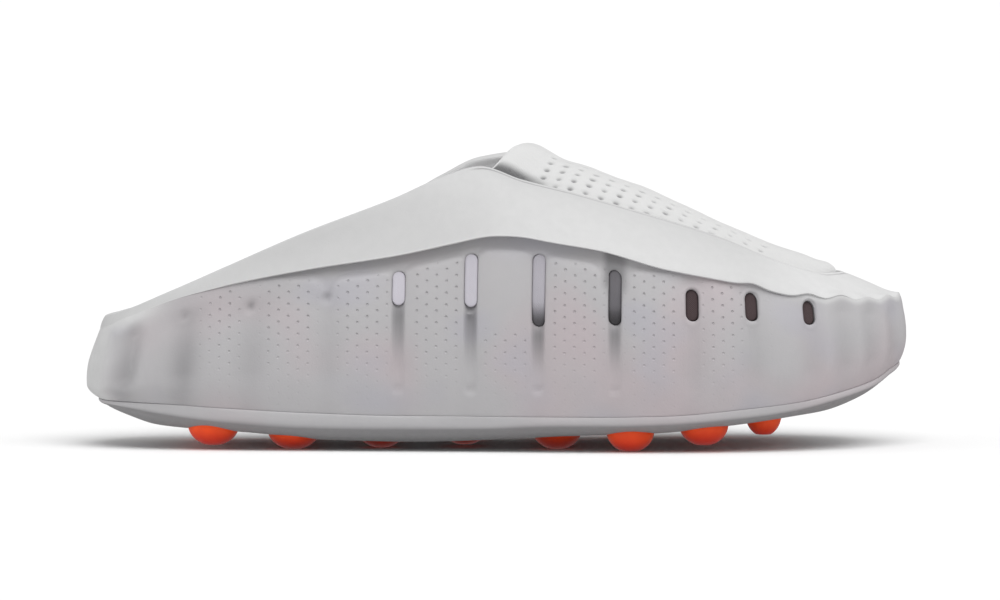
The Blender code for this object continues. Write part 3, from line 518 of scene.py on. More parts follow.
def relief(t, h, z):
    """How far the ribbed wall lies inside the plain wall, and the painted shade of its hollows."""
    shallow = smooth_step(0.03, 0.30, h)
    depth, shade, lips, flare = (np.zeros_like(z) for _ in range(4))
    beside = np.full_like(z, 1.0)
    for groove in GROOVE_PLACES:
        s = arc_from(t, groove.place)
        funnel = groove.funnel
        beside = np.minimum(beside, np.abs(s) - funnel * MM)
        if funnel > 2.0:
            flare = np.maximum(flare, smooth_step(funnel + 1.5, funnel - 2.0, np.abs(s) / MM))
        head = 1.0 - smooth_step(groove.top - 0.22, groove.top, h)
        forward = 1.0 if groove.place < TOE_KNOT else -1.0
        off = s - forward * groove.slant * MM * (h - 0.35)
        form = hill(off, groove.spread * TROUGH_SPREAD) * head
        # Painted shade in the trough, strongest low on the wall
        low_part = (0.55 + 0.45 * smooth_step(0.0, 0.15, h)) * (1.2 - smooth_step(0.35, 0.95, h))
        shade = np.maximum(shade, groove.shade * form * low_part)
        sunk = groove.trough * MM * form * shallow
        foot_z, head_z = slot_reach(groove)
        if groove.scoop > 0.0:
            outside = stadium(s, z, CHANNEL_FOOT, head_z, CHANNEL_HALF_WIDTH)
            way = smooth_step(CHANNEL_FOOT + 2 * MM, foot_z - 1 * MM, z)
            form = 1.0 - smooth_step(-1.1 * MM, 0.8 * MM, outside)
            bowl = 0.22 * hill(z - CHANNEL_FOOT - 1.6 * MM, 1.1 * MM)
            ledge = (groove.scoop > 1.9) * hill(z - foot_z + 2.6 * MM, 0.6 * MM)
            sunk = sunk + (groove.scoop * (0.22 + 0.70 * way + bowl) - 0.9 * ledge) * MM * form
            # Painted shade in the scoop below the slot
            near = 0.62 + 0.38 * smooth_step(foot_z + 0.5 * MM, foot_z - 4 * MM, z)
            shade = np.maximum(shade, min(groove.scoop, 1.0) * (0.05 + 0.66 * way ** 1.5) * near * form)
        pit = hill(s, 1.7 * MM) * hill(z - wall_z(t, groove.top - 0.10), 2.0 * MM)
        # Painted shade in the pit at the trough's head
        shade = np.maximum(shade, min(groove.pit, 1.0) * 0.42 * pit)
        depth = np.maximum(depth, sunk + groove.pit * MM * pit)
        if groove in SLOTS:
            outside = stadium(s, z, foot_z, head_z, SLOT_WIDTH / 2)
            front = smooth_step(0.66, 0.74, ALONG(groove.place))
            ridge = 0.30 * MM * front * hill(outside - 0.9 * MM, 0.55 * MM)
            lips = lips + 0.40 * MM * np.clip(1.0 - outside / (1.1 * MM), 0.0, 1.0) ** 2 - ridge
    window = strip_window(t)
    top_way = edge_z(t) - STRIP_HEIGHT * window - z
    corner = np.hypot(np.maximum(PANEL_CORNER - top_way, 0.0), np.maximum(PANEL_CORNER - beside, 0.0))
    form = window * (1.0 - smooth_step(-0.8 * MM, 1.9 * MM, PANEL_CORNER - corner))
    form = form * smooth_step(-13 * MM, -7 * MM, -top_way)
    # Painted shade in the funnel under the band
    shade = np.maximum(shade, 0.72 * flare * form)
    depth = np.maximum(depth, STRIP_DEPTH * form)
    seam_edge = SEAM_EDGE_ROUND * np.clip(1.0 - (z - seam_z(t)) / (0.5 * MM), 0.0, 1.0) ** 2
    heel = 1.0 - smooth_step(0.02, 0.10, ALONG(t))
    hollow = 0.6 * MM * heel * hill(z - 37 * MM, 5 * MM)
    off_groove = smooth_step(3 * MM, 12 * MM, to_nearest_groove(t))
    puff = 0.35 * MM * off_groove * shallow * (1.0 - smooth_step(0.7, 1.0, h))
    return depth + lips + seam_edge + hollow - puff, shade


def dimple_share(t, h, z):
    """How strongly the dimples show: most under the band, none in the grooves or on the smooth middle panel."""
    along = ALONG(t)
    ends = smooth_step(0.12, 0.17, along) * (1.0 - smooth_step(0.79, 0.84, along))
    off_groove = smooth_step(3.4 * MM, 4.4 * MM, to_nearest_groove(t))
    under_top = smooth_step(0.8 * MM, 1.8 * MM, edge_z(t) - STRIP_HEIGHT * strip_window(t) - z)
    lower = 0.10 + 0.55 * smooth_step(22 * MM, 40 * MM, z) + 0.35 * smooth_step(40 * MM, 50 * MM, z)
    smooth_panel = smooth_step(0.462, 0.470, along) * (1.0 - smooth_step(0.546, 0.552, along))
    bare = 1.0 - smooth_panel * smooth_step(43 * MM, 46 * MM, z)
    return ends * off_groove * under_top * lower * bare * (h < 1.0)


# Meshes

def in_scene(name, data):
    """A new object of the scene."""
    obj = bpy.data.objects.new(name, data)
    bpy.context.scene.collection.objects.link(obj)
    return obj


class Rows:
    """Points, faces and named marks of a solid made of rows of points."""

    def __init__(self, *marks):
        self.points = []
        self.faces = []
        self.marks = {name: [] for name in marks}

    def add(self, row, **given):
        """Adds a row of points and returns their numbers. A mark that isn't given is 0."""
        start = len(self.points)
        self.points.extend(np.asarray(row, float).tolist())
        for name, values in self.marks.items():
            values.extend(np.broadcast_to(given.get(name, 0.0), len(row)).tolist())
        return list(range(start, len(self.points)))

    def join(self, *chain):
        """Quads between closed rows of point numbers, each with the next."""
        for lower, upper in zip(chain, chain[1:]):
            for i, (a, b) in enumerate(zip(lower, upper)):
                j = (i + 1) % len(lower)
                self.faces.append((a, lower[j], upper[j], b))

    def zip_across(self, loop):
        """Triangles between the lateral and the medial half of a narrow closed row, from heel to toe."""
        xs = [self.points[k][0] for k in loop]
        heel = int(np.argmin(xs))
        ring = loop[heel:] + loop[:heel]
        toe_at = (int(np.argmax(xs)) - heel) % len(loop)
        left = ring[: toe_at + 1]
        right = [ring[0]] + ring[:toe_at - 1:-1]
        i, j = 0, 0
        while i < len(left) - 1 or j < len(right) - 1:
            take_left = j >= len(right) - 1 or (
                i < len(left) - 1 and self.points[left[i + 1]][0] <= self.points[right[j + 1]][0]
            )
            corner = left[i + 1] if take_left else right[j + 1]
            triangle = (left[i], right[j], corner)
            if len(set(triangle)) == 3:
                self.faces.append(triangle)
            i, j = (i + 1, j) if take_left else (i, j + 1)

    def make(self, name, made_of, sharp=50):
        """A smooth mesh object with its faces turned outward."""
        mesh = bpy.data.meshes.new(name)
        mesh.from_pydata([tuple(point) for point in self.points], [], self.faces)
        for mark, values in self.marks.items():
            layer = mesh.attributes.new(mark, "FLOAT", "POINT")
            layer.data.foreach_set("value", np.asarray(values, np.float32))
        work = bmesh.new()
        work.from_mesh(mesh)
        bmesh.ops.delete(work, geom=[vert for vert in work.verts if not vert.link_faces], context="VERTS")
        bmesh.ops.recalc_face_normals(work, faces=work.faces)
        work.to_mesh(mesh)
        work.free()
        mesh.materials.append(made_of)
        mesh.shade_smooth()
        mesh.set_sharp_from_angle(angle=math.radians(sharp))
        return in_scene(name, mesh)


def placed(obj, slot, *nodes):
    """The object rides on the one body and stands for the CAD nodes given, which it hides; its slot is not
    used.
    """
    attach(obj, "root")
    if nodes:
        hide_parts(*nodes)
    return obj


# Shell

def shell_columns():
    """Loop places of the mesh's columns, close together at the slots, and each slot's own columns."""
    half = SLOT_WIDTH / 2
    across = half * np.sin(np.radians(np.linspace(-90, 90, 9)))
    beside_slot = np.array([0.4, 0.85, 1.4, 2.1, 3.0, 4.1]) * MM + half
    beside_plain = np.array([0.0, 0.9, 1.8, 2.8, 3.9, 5.1, 6.5]) * MM
    widest = 1.3 * MM
    places = []
    for i, groove in enumerate(GROOVE_PLACES):
        is_slot = groove in SLOTS
        beside = beside_slot if is_slot else beside_plain
        offsets = [*(across if is_slot else []), *beside, *(-x for x in beside if x > 0)]
        following = GROOVE_PLACES[(i + 1) % len(GROOVE_PLACES)]
        room_after = arc_from(following.place, groove.place) / 2
        room_before = arc_from(groove.place, GROOVE_PLACES[i - 1].place) / 2
        offsets = sorted(x for x in offsets if -room_before < x < room_after - 0.2 * MM)
        places += [(groove.place + x, i if is_slot and abs(x) <= half * 1.0001 else None) for x in offsets]
        gap_start = groove.place + offsets[-1]
        reach = max(x for x in (beside_slot if following in SLOTS else beside_plain) if x < room_after)
        gap_end = groove.place + 2 * room_after - reach
        count = max(1, math.ceil((gap_end - gap_start) / widest))
        places += [(gap_start + (gap_end - gap_start) * k / count, None) for k in range(1, count)]
    order = sorted((float(np.mod(place, LOOP_LENGTH)), -1 if slot is None else slot) for place, slot in places)
    columns = np.array([row[0] for row in order])
    slots = {}
    for number, (_, slot) in enumerate(order):
        if slot >= 0:
            slots.setdefault(slot, []).append(number)
    return columns, list(slots.values())


def slot_lines(t):
    """Shares of the wall's height where rows of the mesh pass the slots' rounded feet and heads."""
    half = SLOT_WIDTH / 2
    places, foot, head = [], [], []
    for groove in GROOVE_PLACES:
        is_slot = groove in SLOTS
        for side in (-half, half):
            places.append(groove.place + side)
            foot.append(groove.slot_foot)
            head.append(groove.slot_head + SLOT_ROW_SHARE * (not is_slot))
    low = np.interp(t, places, foot, period=LOOP_LENGTH)
    high = np.interp(t, places, head, period=LOOP_LENGTH)
    wall = edge_z(t) - seam_z(t)
    for groove in SLOTS:
        s = np.abs(arc_from(t, groove.place))
        round_end = half - np.sqrt(np.clip(half**2 - s**2, 0.0, None))
        beyond = half * (1.0 - smooth_step(half, half + 5 * MM, s))
        shift = np.where(s <= half, round_end, beyond) / wall
        low = low + shift
        high = high - shift
    return low, high


def make_shell(foam):
    """The moulded shell with its ribs, slots, overhanging band and rolled rim."""
    t, slots = shell_columns()
    along = ALONG(t)
    ones = np.ones_like(t)
    foot, head = slot_lines(t)
    shares = [foot * step for step in (0.0, 0.008, 0.020, 0.042, *np.linspace(0.075, 1.0, 29))]
    slot_first = len(shares) - 1
    shares += [foot + (head - foot) * step for step in np.linspace(0.0, 1.0, 15)[1:]]
    tall = len(shares) - 1 - slot_first
    shares += [head + (1.0 - head) * step for step in (0.12, 0.25, 0.38, 0.50, 0.62, 0.74, 0.85, 0.93, 0.985)]

    rows = Rows("arc", "rise", "dimple", "band", "shade", "pale")
    soft_edge = 1.0 - smooth_step(0.11, 0.22, along) * (1.0 - smooth_step(0.83, 0.90, along))
    soft_reach = 0.22 - 0.14 * smooth_step(0.4, 0.6, along)
    soft_wall = soft_edge * np.where(along < 0.5, 1.0 - smooth_step(0.05, 0.12, along), 1.0)
    # Painted shade just under the band's edge behind the midfoot; heel_painted_light is painted light on the
    # heel's end
    rear_shade = 0.16 * smooth_step(0.06, 0.12, along) * (1.0 - smooth_step(0.22, 0.34, along))
    heel_painted_light = 1.0 - smooth_step(0.010, 0.036, along)
    outer = []
    for h in shares:
        z = wall_z(t, h)
        depth, shade = relief(t, h, z)
        outer.append(rows.add(
            wall_point(t, h, wall_inset(t, h) + depth),
            arc=t / MM, rise=z / MM, dimple=dimple_share(t, h, z),
            band=np.maximum(soft_wall * smooth_step(1.0 - soft_reach, 1.0, h), heel_painted_light),
            shade=np.maximum(shade, rear_shade * smooth_step(0.62, 0.92, h)),
        ))

    level = out_way(t)
    upward = np.array([0.0, 0.0, 1.0])
    has_lip = smooth_step(0.05, 0.30, lip(t) / (section("lip").max() * BALL_WIDTH))[:, None]
    proud = lip(t)[:, None] * level
    corner = np.array(rows.points[-len(t):])
    outmost = plain_wall(t, ones) + proud
    radius = LIP_ROUND * has_lip
    for share in (0.30, 0.65):
        under = corner + (outmost - level * radius - corner) * share
        under[:, 2] = edge_z(t) - 0.15 * MM * has_lip[:, 0] * (1 - share)
        outer.append(rows.add(under, band=soft_edge))
    for angle in (-90, -60, -30):
        turned = math.radians(angle)
        point = outmost + level * radius * (math.cos(turned) - 1.0) + upward * radius * (math.sin(turned) + 1.0)
        outer.append(rows.add(point, band=soft_edge if angle == -90 else 1.0))

    rim = np.stack([RIM_X(t), RIM_Y(t), RIM_Z(t)], axis=-1)
    band_length = np.linalg.norm(rim - outmost, axis=-1)
    first, last = 0.045, 1.0 - 3.4 * MM / band_length
    band_rows = [first + (last - first) * step for step in np.linspace(0.0, 1.0, 19) ** 1.05]
    top_steps = (2.6, 2.0, 1.65, 1.45, 1.25, 1.05, 0.85, 0.5, 0.2, 0.0)
    band_rows += [1.0 - step * MM / band_length for step in top_steps]
    vamp_side = smooth_step(0.475, 0.50, along)
    # Painted shade: the band darker towards the heel, in the bead's groove by the window, and on the crest
    heel_band_shade = 0.12 * (1.0 - smooth_step(0.42, 0.66, along))
    # Painted light: the band paler towards the toe
    front = 0.25 * smooth_step(0.78, 0.92, along)
    for q in band_rows:
        points = plain_band(t, q) + proud * np.clip(1.0 - q / 0.7, 0.0, 1.0)[:, None] ** 2
        from_rim = (1.0 - q) * band_length
        bead = vamp_side * hill(from_rim - BEAD_WIDTH, BEAD_LINE)
        points = points - surface_normal(t, 1.0 + q) * (BEAD_DEPTH * bead)[:, None]
        outer.append(rows.add(points, band=1.0, shade=np.maximum(0.45 * bead, heel_band_shade), pale=front))

    outer_rim = plain_band(t, ones)
    inner_rim = inner_surface(t, 2.0 * ones)
    middle, half = (outer_rim + inner_rim) / 2, (outer_rim - inner_rim) / 2
    rising = outer_rim - plain_band(t, 0.97 * ones)
    rising /= np.linalg.norm(rising, axis=-1, keepdims=True)
    crest = []
    for angle in (25, 50, 75, 105, 130, 155):
        turned = math.radians(angle)
        point = middle + half * math.cos(turned) + rising * RIM_ROLL * math.sin(turned)
        crest.append(rows.add(point, band=1.0, shade=0.5 * heel_band_shade))

    inner_shares = [foot * step for step in (0.0, 0.25, 0.5, 0.75)]
    inner_first = len(inner_shares)
    inner_shares += shares[slot_first: slot_first + tall + 1]
    inner_shares.append(head + (1.0 - head) * 0.5)
    inner_shares += [v * ones for v in (1.0, 1.25, 1.5, 1.7, 1.85, 1.95, 2.0)]
    inner = []
    for v in inner_shares:
        on_band = smooth_step(1.0, 1.3, v)
        # Painted light: the inside of the band paler towards the rim
        inner.append(rows.add(inner_surface(t, v), band=on_band, pale=smooth_step(1.3, 1.6, v)))

    slot_columns = {col for columns in slots for col in columns[:-1]}
    for grid, first_row in ((outer, slot_first), (inner, inner_first)):
        for row, (lower, upper) in enumerate(zip(grid, grid[1:])):
            beside_slot = first_row <= row < first_row + tall
            for col in range(len(t)):
                if not (beside_slot and col in slot_columns):
                    after = (col + 1) % len(t)
                    rows.faces.append((lower[col], lower[after], upper[after], upper[col]))

    for columns in slots:
        ring = [(0, col) for col in columns] + [(row, columns[-1]) for row in range(1, tall)]
        ring += [(tall, col) for col in reversed(columns)]
        ring += [(row, columns[0]) for row in range(tall - 1, 0, -1)]
        outside = [outer[slot_first + row][col] for row, col in ring]
        inside = [inner[inner_first + row][col] for row, col in ring]
        start, end = (np.array([rows.points[k] for k in side]) for side in (outside, inside))
        # Painted shade on the walls of the front slots
        dark = 0.85 * float(smooth_step(0.56, 0.70, along[columns[0]]))
        between = [rows.add(start + (end - start) * share, shade=dark) for share in (0.06, 0.30, 0.65, 0.92)]
        rows.join(outside, *between, inside)
    rows.join(inner[0], outer[0])
    rows.join(outer[-1], *crest, inner[-1])
    return placed(rows.make("shell", foam), "foam_grey", "upper")


# Linings and slot pads

def make_lining(name, first, last, count, levels, gap, textile):
    """A thin textile lining inside the shell's wall, between two loop places."""
    t, v = np.meshgrid(np.linspace(first, last, count), levels)
    near, far = (inner_surface(t, v) - surface_normal(t, v) * deep for deep in (gap, gap + LINING_THICKNESS))
    rows = Rows()
    tall, wide = near.shape[:2]
    below = tall * wide
    rows.add(near.reshape(-1, 3))
    rows.add(far.reshape(-1, 3))
    for i in range(tall - 1):
        for j in range(wide - 1):
            corners = (i * wide + j, i * wide + j + 1, (i + 1) * wide + j + 1, (i + 1) * wide + j)
            rows.faces += [corners, tuple(below + k for k in corners[::-1])]
    border = [*range(wide), *(i * wide + wide - 1 for i in range(1, tall))]
    border += [(tall - 1) * wide + j for j in range(wide - 2, -1, -1)]
    border += [i * wide for i in range(tall - 2, 0, -1)]
    for i, start in enumerate(border):
        end = border[(i + 1) % len(border)]
        rows.faces.append((end, start, below + start, below + end))
    return placed(rows.make(name, textile), "textile_white")


def make_heel_lining(textile):
    """The lining from the midfoot round the heel."""
    lateral, medial = loop_places_of(LINING_END)
    levels = [*np.linspace(0.02, 1.0, 24), *np.linspace(1.0, LINING_TOP, 18)[1:]]
    make_lining("lining", medial - LOOP_LENGTH, lateral, 420, levels, LINING_GAP, textile)


def make_toe_lining(textile):
    """The lining round the toe box, behind the front slots; its near-black is partly its own colour, partly
    painted shade.
    """
    lateral, medial = loop_places_of(TOE_LINING_START)
    levels = [*np.linspace(0.02, 1.0, 22), *np.linspace(1.0, 1.9, 12)[1:]]
    make_lining("toe_lining", lateral, medial, 340, levels, TOE_LINING_GAP, textile)


def stadium_ring(half, low, high):
    """Places round an upright slot with round ends: across it, and heights."""
    turns = np.radians(np.linspace(0.0, 180.0, 9))
    straight = np.linspace(0.0, 1.0, 14)[1:-1]
    low_mid, high_mid = low + half, high - half
    across = [half * np.cos(turns), -half + 0 * straight, -half * np.cos(turns), half + 0 * straight]
    upward = [
        high_mid + half * np.sin(turns), high_mid + (low_mid - high_mid) * straight,
        low_mid - half * np.sin(turns), low_mid + (high_mid - low_mid) * straight,
    ]
    return np.concatenate(across), np.concatenate(upward)


def make_slot_pads(name, pads, textile):
    """The textile that fills slots from behind."""
    rows = Rows("shade")
    half = SLOT_WIDTH / 2 - PAD_GAP
    for along, head_depth, foot_depth, head_shade, foot_shade in pads:
        for place in loop_places_of(along):
            groove = min(SLOTS, key=lambda each: abs(each.place - place))
            foot_z, head_z = slot_reach(groove)
            chain = []
            for inset, sink in PAD_STEPS:
                edge = PAD_GAP + inset * MM
                across, z = stadium_ring(half - inset * MM, foot_z + edge, head_z - edge)
                t = place + across
                h = wall_share(t, z)
                up = smooth_step(foot_z + 1 * MM, foot_z + 0.36 * (head_z - foot_z), z)
                lies = foot_depth + (head_depth - foot_depth) * up + sink
                inward = wall_inset(t, h) + groove.trough * MM + np.minimum(lies * MM, WALL)
                # Painted shade, from head_shade at the slot's head to foot_shade at its foot
                shade = foot_shade + (head_shade - foot_shade) * up
                chain.append(rows.add(wall_point(t, h, inward), shade=shade))
            rows.faces.append(tuple(chain[0]))
            rows.join(*chain)
            cap = chain[-1]
            count = len(cap)
            for k in range(count // 2):
                left, right = (4 + k) % count, (4 - k) % count
                face = (cap[left], cap[(left + 1) % count], cap[(right - 1) % count], cap[right])
                rows.faces.append(tuple(dict.fromkeys(face)))
    return placed(rows.make(name, textile), "textile_white")


# Vamp panel

def throat_places():
    """Loop places of the two throat corners, where the rim is highest on each side."""
    half = len(SECTIONS)
    lateral = LOOP_KNOTS[int(np.argmax(ROW_RIM_Z[:half]))]
    medial = LOOP_KNOTS[half - 1 + int(np.argmax(ROW_RIM_Z[half - 1:]))]
    return lateral, medial


def tongue_edge(t):
    """The panel's edge, just inside the rim of the vamp window and a little lower."""
    rim = inner_surface(t, 2.0) - out_way(t) * FIT_GAP * 2
    rim[..., 2] -= TONGUE_SINK
    return rim


def vamp_surface(way, across):
    """Top of the panel at a share of the way from throat to toe and from -1, lateral, to 1, medial."""
    lateral, medial = (tongue_edge(corner + (TOE_KNOT - corner) * way) for corner in throat_places())
    side = ((np.asarray(across, float) + 1) / 2)[..., None]
    points = lateral * (1 - side) + medial * side
    crown = TONGUE_CROWN * read_table(CROWN, way)
    away = np.abs(across)
    throat = 1.0 - smooth_step(0.03, 0.20, way)
    plain = 1 - away ** 2.2
    steep = 1.0 - smooth_step(0.08, 0.97, away)
    pocket = POCKET_DEPTH * throat * smooth_step(0.72, 0.88, away) * (1.0 - smooth_step(0.96, 1.0, away))
    points[..., 2] += crown * (plain + (steep - plain) * throat) - pocket
    points[..., 0] += THROAT_ARC * (1 - away ** 2) * (1.0 - smooth_step(0.0, 0.3, way))
    return points


def hole_dents(points, across):
    """Depth of the perforations' dents at points of the panel."""
    x, y = points[..., 0], points[..., 1]
    arc = np.zeros_like(y)
    steps = np.linalg.norm(np.diff(points, axis=1)[..., 1:], axis=-1)
    arc[:, 1:] = np.cumsum(steps, axis=1)
    wide = arc[:, -1:]
    arc = arc - wide / 2
    slanted = x + HOLE_SKEW * np.abs(arc)
    column_number = np.round(slanted / HOLE_PITCH)
    row_number = np.round(arc / HOLE_ROW_PITCH)
    dx = slanted - column_number * HOLE_PITCH
    dy = arc - row_number * HOLE_ROW_PITCH
    hole_x = x - dx
    margin = wide / 2 - np.abs(row_number) * HOLE_ROW_PITCH
    start = HOLES_START + THROAT_ARC * (1 - across ** 2)
    shown = (hole_x > start) * (margin > 2.6 * MM) * (hole_x < 0.100)
    uneven = 0.86 + 0.14 * np.sin(column_number * 2.4 + row_number * 5.1)
    strength = (1.0 - 0.34 * smooth_step(0.040, 0.100, x)) * uneven * shown
    dent = hill(np.hypot(dx / 1.25, dy), HOLE_RADIUS) * strength
    from_edge = wide / 2 - np.abs(arc)
    for hole_x, hole_edge in POCKET_HOLES:
        away = np.hypot(x - hole_x * MM, from_edge - hole_edge * MM)
        dent = np.maximum(dent, 0.9 * hill(away, 0.6 * HOLE_RADIUS))
    return dent


def make_vamp(textile):
    """The perforated textile panel, with a padded roll at the throat."""
    ways = (1.0 - (1.0 - np.linspace(0.0, 1.0, 251)) ** 1.15)[:-2]
    sides = np.sin(np.linspace(-1.0, 1.0, 131) * math.pi / 2 * 0.80) / math.sin(math.pi / 2 * 0.80)
    way_grid, side_grid = np.meshgrid(ways, sides, indexing="ij")
    top = vamp_surface(way_grid, side_grid)
    normal = np.cross(np.gradient(top, axis=1), np.gradient(top, axis=0))
    normal /= np.linalg.norm(normal, axis=-1, keepdims=True)
    normal *= np.sign(normal[..., 2:3])
    dent = hole_dents(top, side_grid)
    above_edge = top[..., 2] - np.where(side_grid < 0, top[:, :1, 2], top[:, -1:, 2])
    soft = 0.12 * MM * np.sin(top[..., 0] / (3.1 * MM)) * np.sin(top[..., 1] / (4.3 * MM) + 1.0)
    edge_fade = 1.0 - np.abs(side_grid) ** 8
    thickness = TONGUE_THICKNESS + 2.2 * MM * (1.0 - smooth_step(0.02, 0.15, way_grid)) * edge_fade
    low = top - normal * thickness[..., None]
    low[:, [0, -1], :2] = top[:, [0, -1], :2]
    top = top - normal * ((HOLE_DEPTH * dent + soft) * edge_fade)[..., None]

    rows = Rows("dent", "shade")
    # Painted shade: the pocket under the puff at the throat, and a line where the panel rises from behind the
    # rim
    pocket = (1.0 - smooth_step(0.05, 0.15, way_grid)) * (1.0 - smooth_step(2.2 * MM, 5.2 * MM, above_edge))
    line = 1.0 - smooth_step(PANEL_LINE, PANEL_LINE + 0.6 * MM, above_edge)
    shade = np.maximum(pocket, 0.75 * line)
    top_rows = [rows.add(top[i], dent=dent[i], shade=shade[i]) for i in reversed(range(len(ways)))]
    back = top[0] - top[1]
    back /= np.linalg.norm(back, axis=-1, keepdims=True)
    middle, half = (top[0] + low[0]) / 2, (top[0] - low[0]) / 2
    reach = PUFF_RADIUS * (edge_fade[0] * 0.8 + 0.2)
    roll_rows = []
    for turned in np.radians((20, 40, 60, 80, 100, 120, 140, 160)):
        bulge = back * (reach * math.sin(turned))[:, None]
        roll_rows.append(rows.add(middle + half * math.cos(turned) + bulge))
    low_rows = [rows.add(row) for row in low]
    chain = [*top_rows, *roll_rows, *low_rows]
    pairs = [*zip(chain, chain[1:]), (chain[0], chain[-1])]
    for lower, upper in pairs:
        for j in range(len(sides) - 1):
            rows.faces.append((lower[j], lower[j + 1], upper[j + 1], upper[j]))
    low_back = low_rows[::-1]
    for j in (0, -1):
        for i in range(len(ways) - 1):
            rows.faces.append((top_rows[i][j], top_rows[i + 1][j], low_back[i + 1][j], low_back[i][j]))
        rows.faces.append((top_rows[-1][j], *[roll[j] for roll in roll_rows], low_rows[0][j]))
    placed(rows.make("vamp_panel", textile, 70), "textile_white", "tongue")


# Sole, footbed and pods

def centre_y(x):
    """Middle line of the shoe seen from above."""
    toe = len(SECTIONS) - 1
    lateral = np.interp(x, ROW_OUT_X[: toe + 1], ROW_OUT_Y[: toe + 1])
    medial = np.interp(x, ROW_OUT_X[toe:][::-1], ROW_OUT_Y[toe:][::-1])
    ends = smooth_step(0.0, 0.06, (x / LENGTH) + 0.5) * smooth_step(0.0, 0.06, 0.5 - x / LENGTH)
    return (lateral + medial) / 2 * ends + (1 - ends) * np.where(x > 0, ROW_OUT_Y[toe], 0.0)


def core_loop(t):
    """Plan of a narrow loop about the shoe's middle line, inside the rim's own loop."""
    x = RIM_X(t)
    middle = centre_y(x)
    return np.stack([x, middle + (RIM_Y(t) - middle) * CORE_WIDTH_SHARE], axis=-1)


def to_core(row, core, share, height):
    """Places a share of the way in plan from a row to the core's loop, at the height given for their x."""
    plan = row[:, :2] + (core - row[:, :2]) * share
    return np.column_stack([plan, height(plan[:, 0])])


def footbed_z(x):
    return PLATEAU_HEIGHT * read_table(FOOTBED, x / LENGTH + 0.5)


def inside_wall(t, z, gap):
    """Places inside the shell's inner wall at a height, with a gap to it."""
    points = inner_surface(t, wall_share(t, z)) - out_way(t) * gap
    points[:, 2] = z
    return points


def pod_places():
    """Centre, lowest height and radius of each pod, row by row from the heel."""
    return [
        (float(from_heel(along)), side * BALL_WIDTH, hang * POD_DROP, size * POD_RADIUS)
        for along, hang, size, across in POD_ROWS for side in across
    ]


def level_ring(x, y, z, radius, sides):
    """A level ring of points round a middle point."""
    angles = np.arange(sides) * (2 * math.pi / sides)
    return np.stack([x + radius * np.cos(angles), y + radius * np.sin(angles), z + 0 * angles], axis=-1)


def cut_sockets(sole):
    """Cuts a round socket for each pod out of the sole."""
    rows = Rows()
    for x, y, low, radius in pod_places():
        bottom = rows.add(level_ring(x, y, low - POD_HEIGHT, radius + FIT_GAP, 48))
        top = rows.add(level_ring(x, y, low + POD_HEIGHT + FIT_GAP, radius + FIT_GAP, 48))
        rows.faces.append(tuple(bottom))
        rows.join(bottom, top)
        rows.faces.append(tuple(top))
    cutter = rows.make("socket_cutter", sole.data.materials[0])
    cut = sole.modifiers.new("sockets", "BOOLEAN")
    cut.operation = "DIFFERENCE"
    cut.solver = "EXACT"
    cut.object = cutter
    bpy.context.view_layer.update()
    cut_mesh = bpy.data.meshes.new_from_object(sole.evaluated_get(bpy.context.evaluated_depsgraph_get()))
    sole.modifiers.clear()
    sole.data = cut_mesh
    sole.data.set_sharp_from_angle(angle=math.radians(40))
    bpy.data.objects.remove(cutter, do_unlink=True)


def make_sole(foam):
    """The carrier under the shell: its rim band, rocker underside with sockets, and core under the footbed."""
    t = np.arange(480) * (LOOP_LENGTH / 480)
    rows = Rows()
    top = seam_z(t) - SEAM_LINE
    turn = seam_z(t) * TURN(t)
    wave = 0.22 * MM * np.sin(t / (11.5 * MM)) * np.sin(t / (37 * MM))
    tuck = TUCK(t) * SEAM_TUCK
    core = core_loop(t)

    def ring(inset, z):
        return np.stack([OUT_X(t), OUT_Y(t), z], axis=-1) - out_way(t) * inset[:, None]

    def underside(share):
        """Heights from the turned edge, at share 0, to the middle line, at share 1."""
        def height(x):
            middle = UNDERSIDE_HEIGHT * read_table(ROCKER, x / LENGTH + 0.5)
            return middle + (turn - middle) * (1.0 - share) ** UNDERSIDE_POWER
        return height

    edge = ring(tuck + TURN_INSET, turn)
    chain = []
    for share in (1.0, 0.75, 0.55, 0.40, 0.30, 0.23, 0.175, 0.13, 0.095, 0.065, 0.04, 0.018):
        chain.append(rows.add(to_core(edge, core, share, underside(share))))
    chain.append(rows.add(edge))
    for share, inset in (
        (0.06, 1.25), (0.13, 0.88), (0.22, 0.55), (0.34, 0.28), (0.48, 0.10), (0.62, 0.02), (0.76, 0.0),
        (0.88, 0.01), (0.96, 0.06),
    ):
        inset = tuck - RIM_BAND_PROUD + inset * MM - wave * math.sin(math.pi * share)
        chain.append(rows.add(ring(inset, turn + (top - turn) * share)))
    chain.append(rows.add(ring(tuck + 0.10 * MM, top)))
    ledge = inside_wall(t, seam_z(t), CORE_GAP)
    ledge[:, 2] = top
    high = inside_wall(t, footbed_z(OUT_X(t)), CORE_GAP)
    chain += [rows.add(ledge), rows.add(inside_wall(t, (top + high[:, 2]) / 2, CORE_GAP)), rows.add(high)]
    chain += [rows.add(to_core(high, core, share, footbed_z)) for share in (0.5, 1.0)]
    rows.zip_across(chain[0])
    rows.join(*chain)
    rows.zip_across(chain[-1])
    sole = rows.make("sole_carrier", foam)
    cut_sockets(sole)
    placed(sole, "sole_grey", "sole")


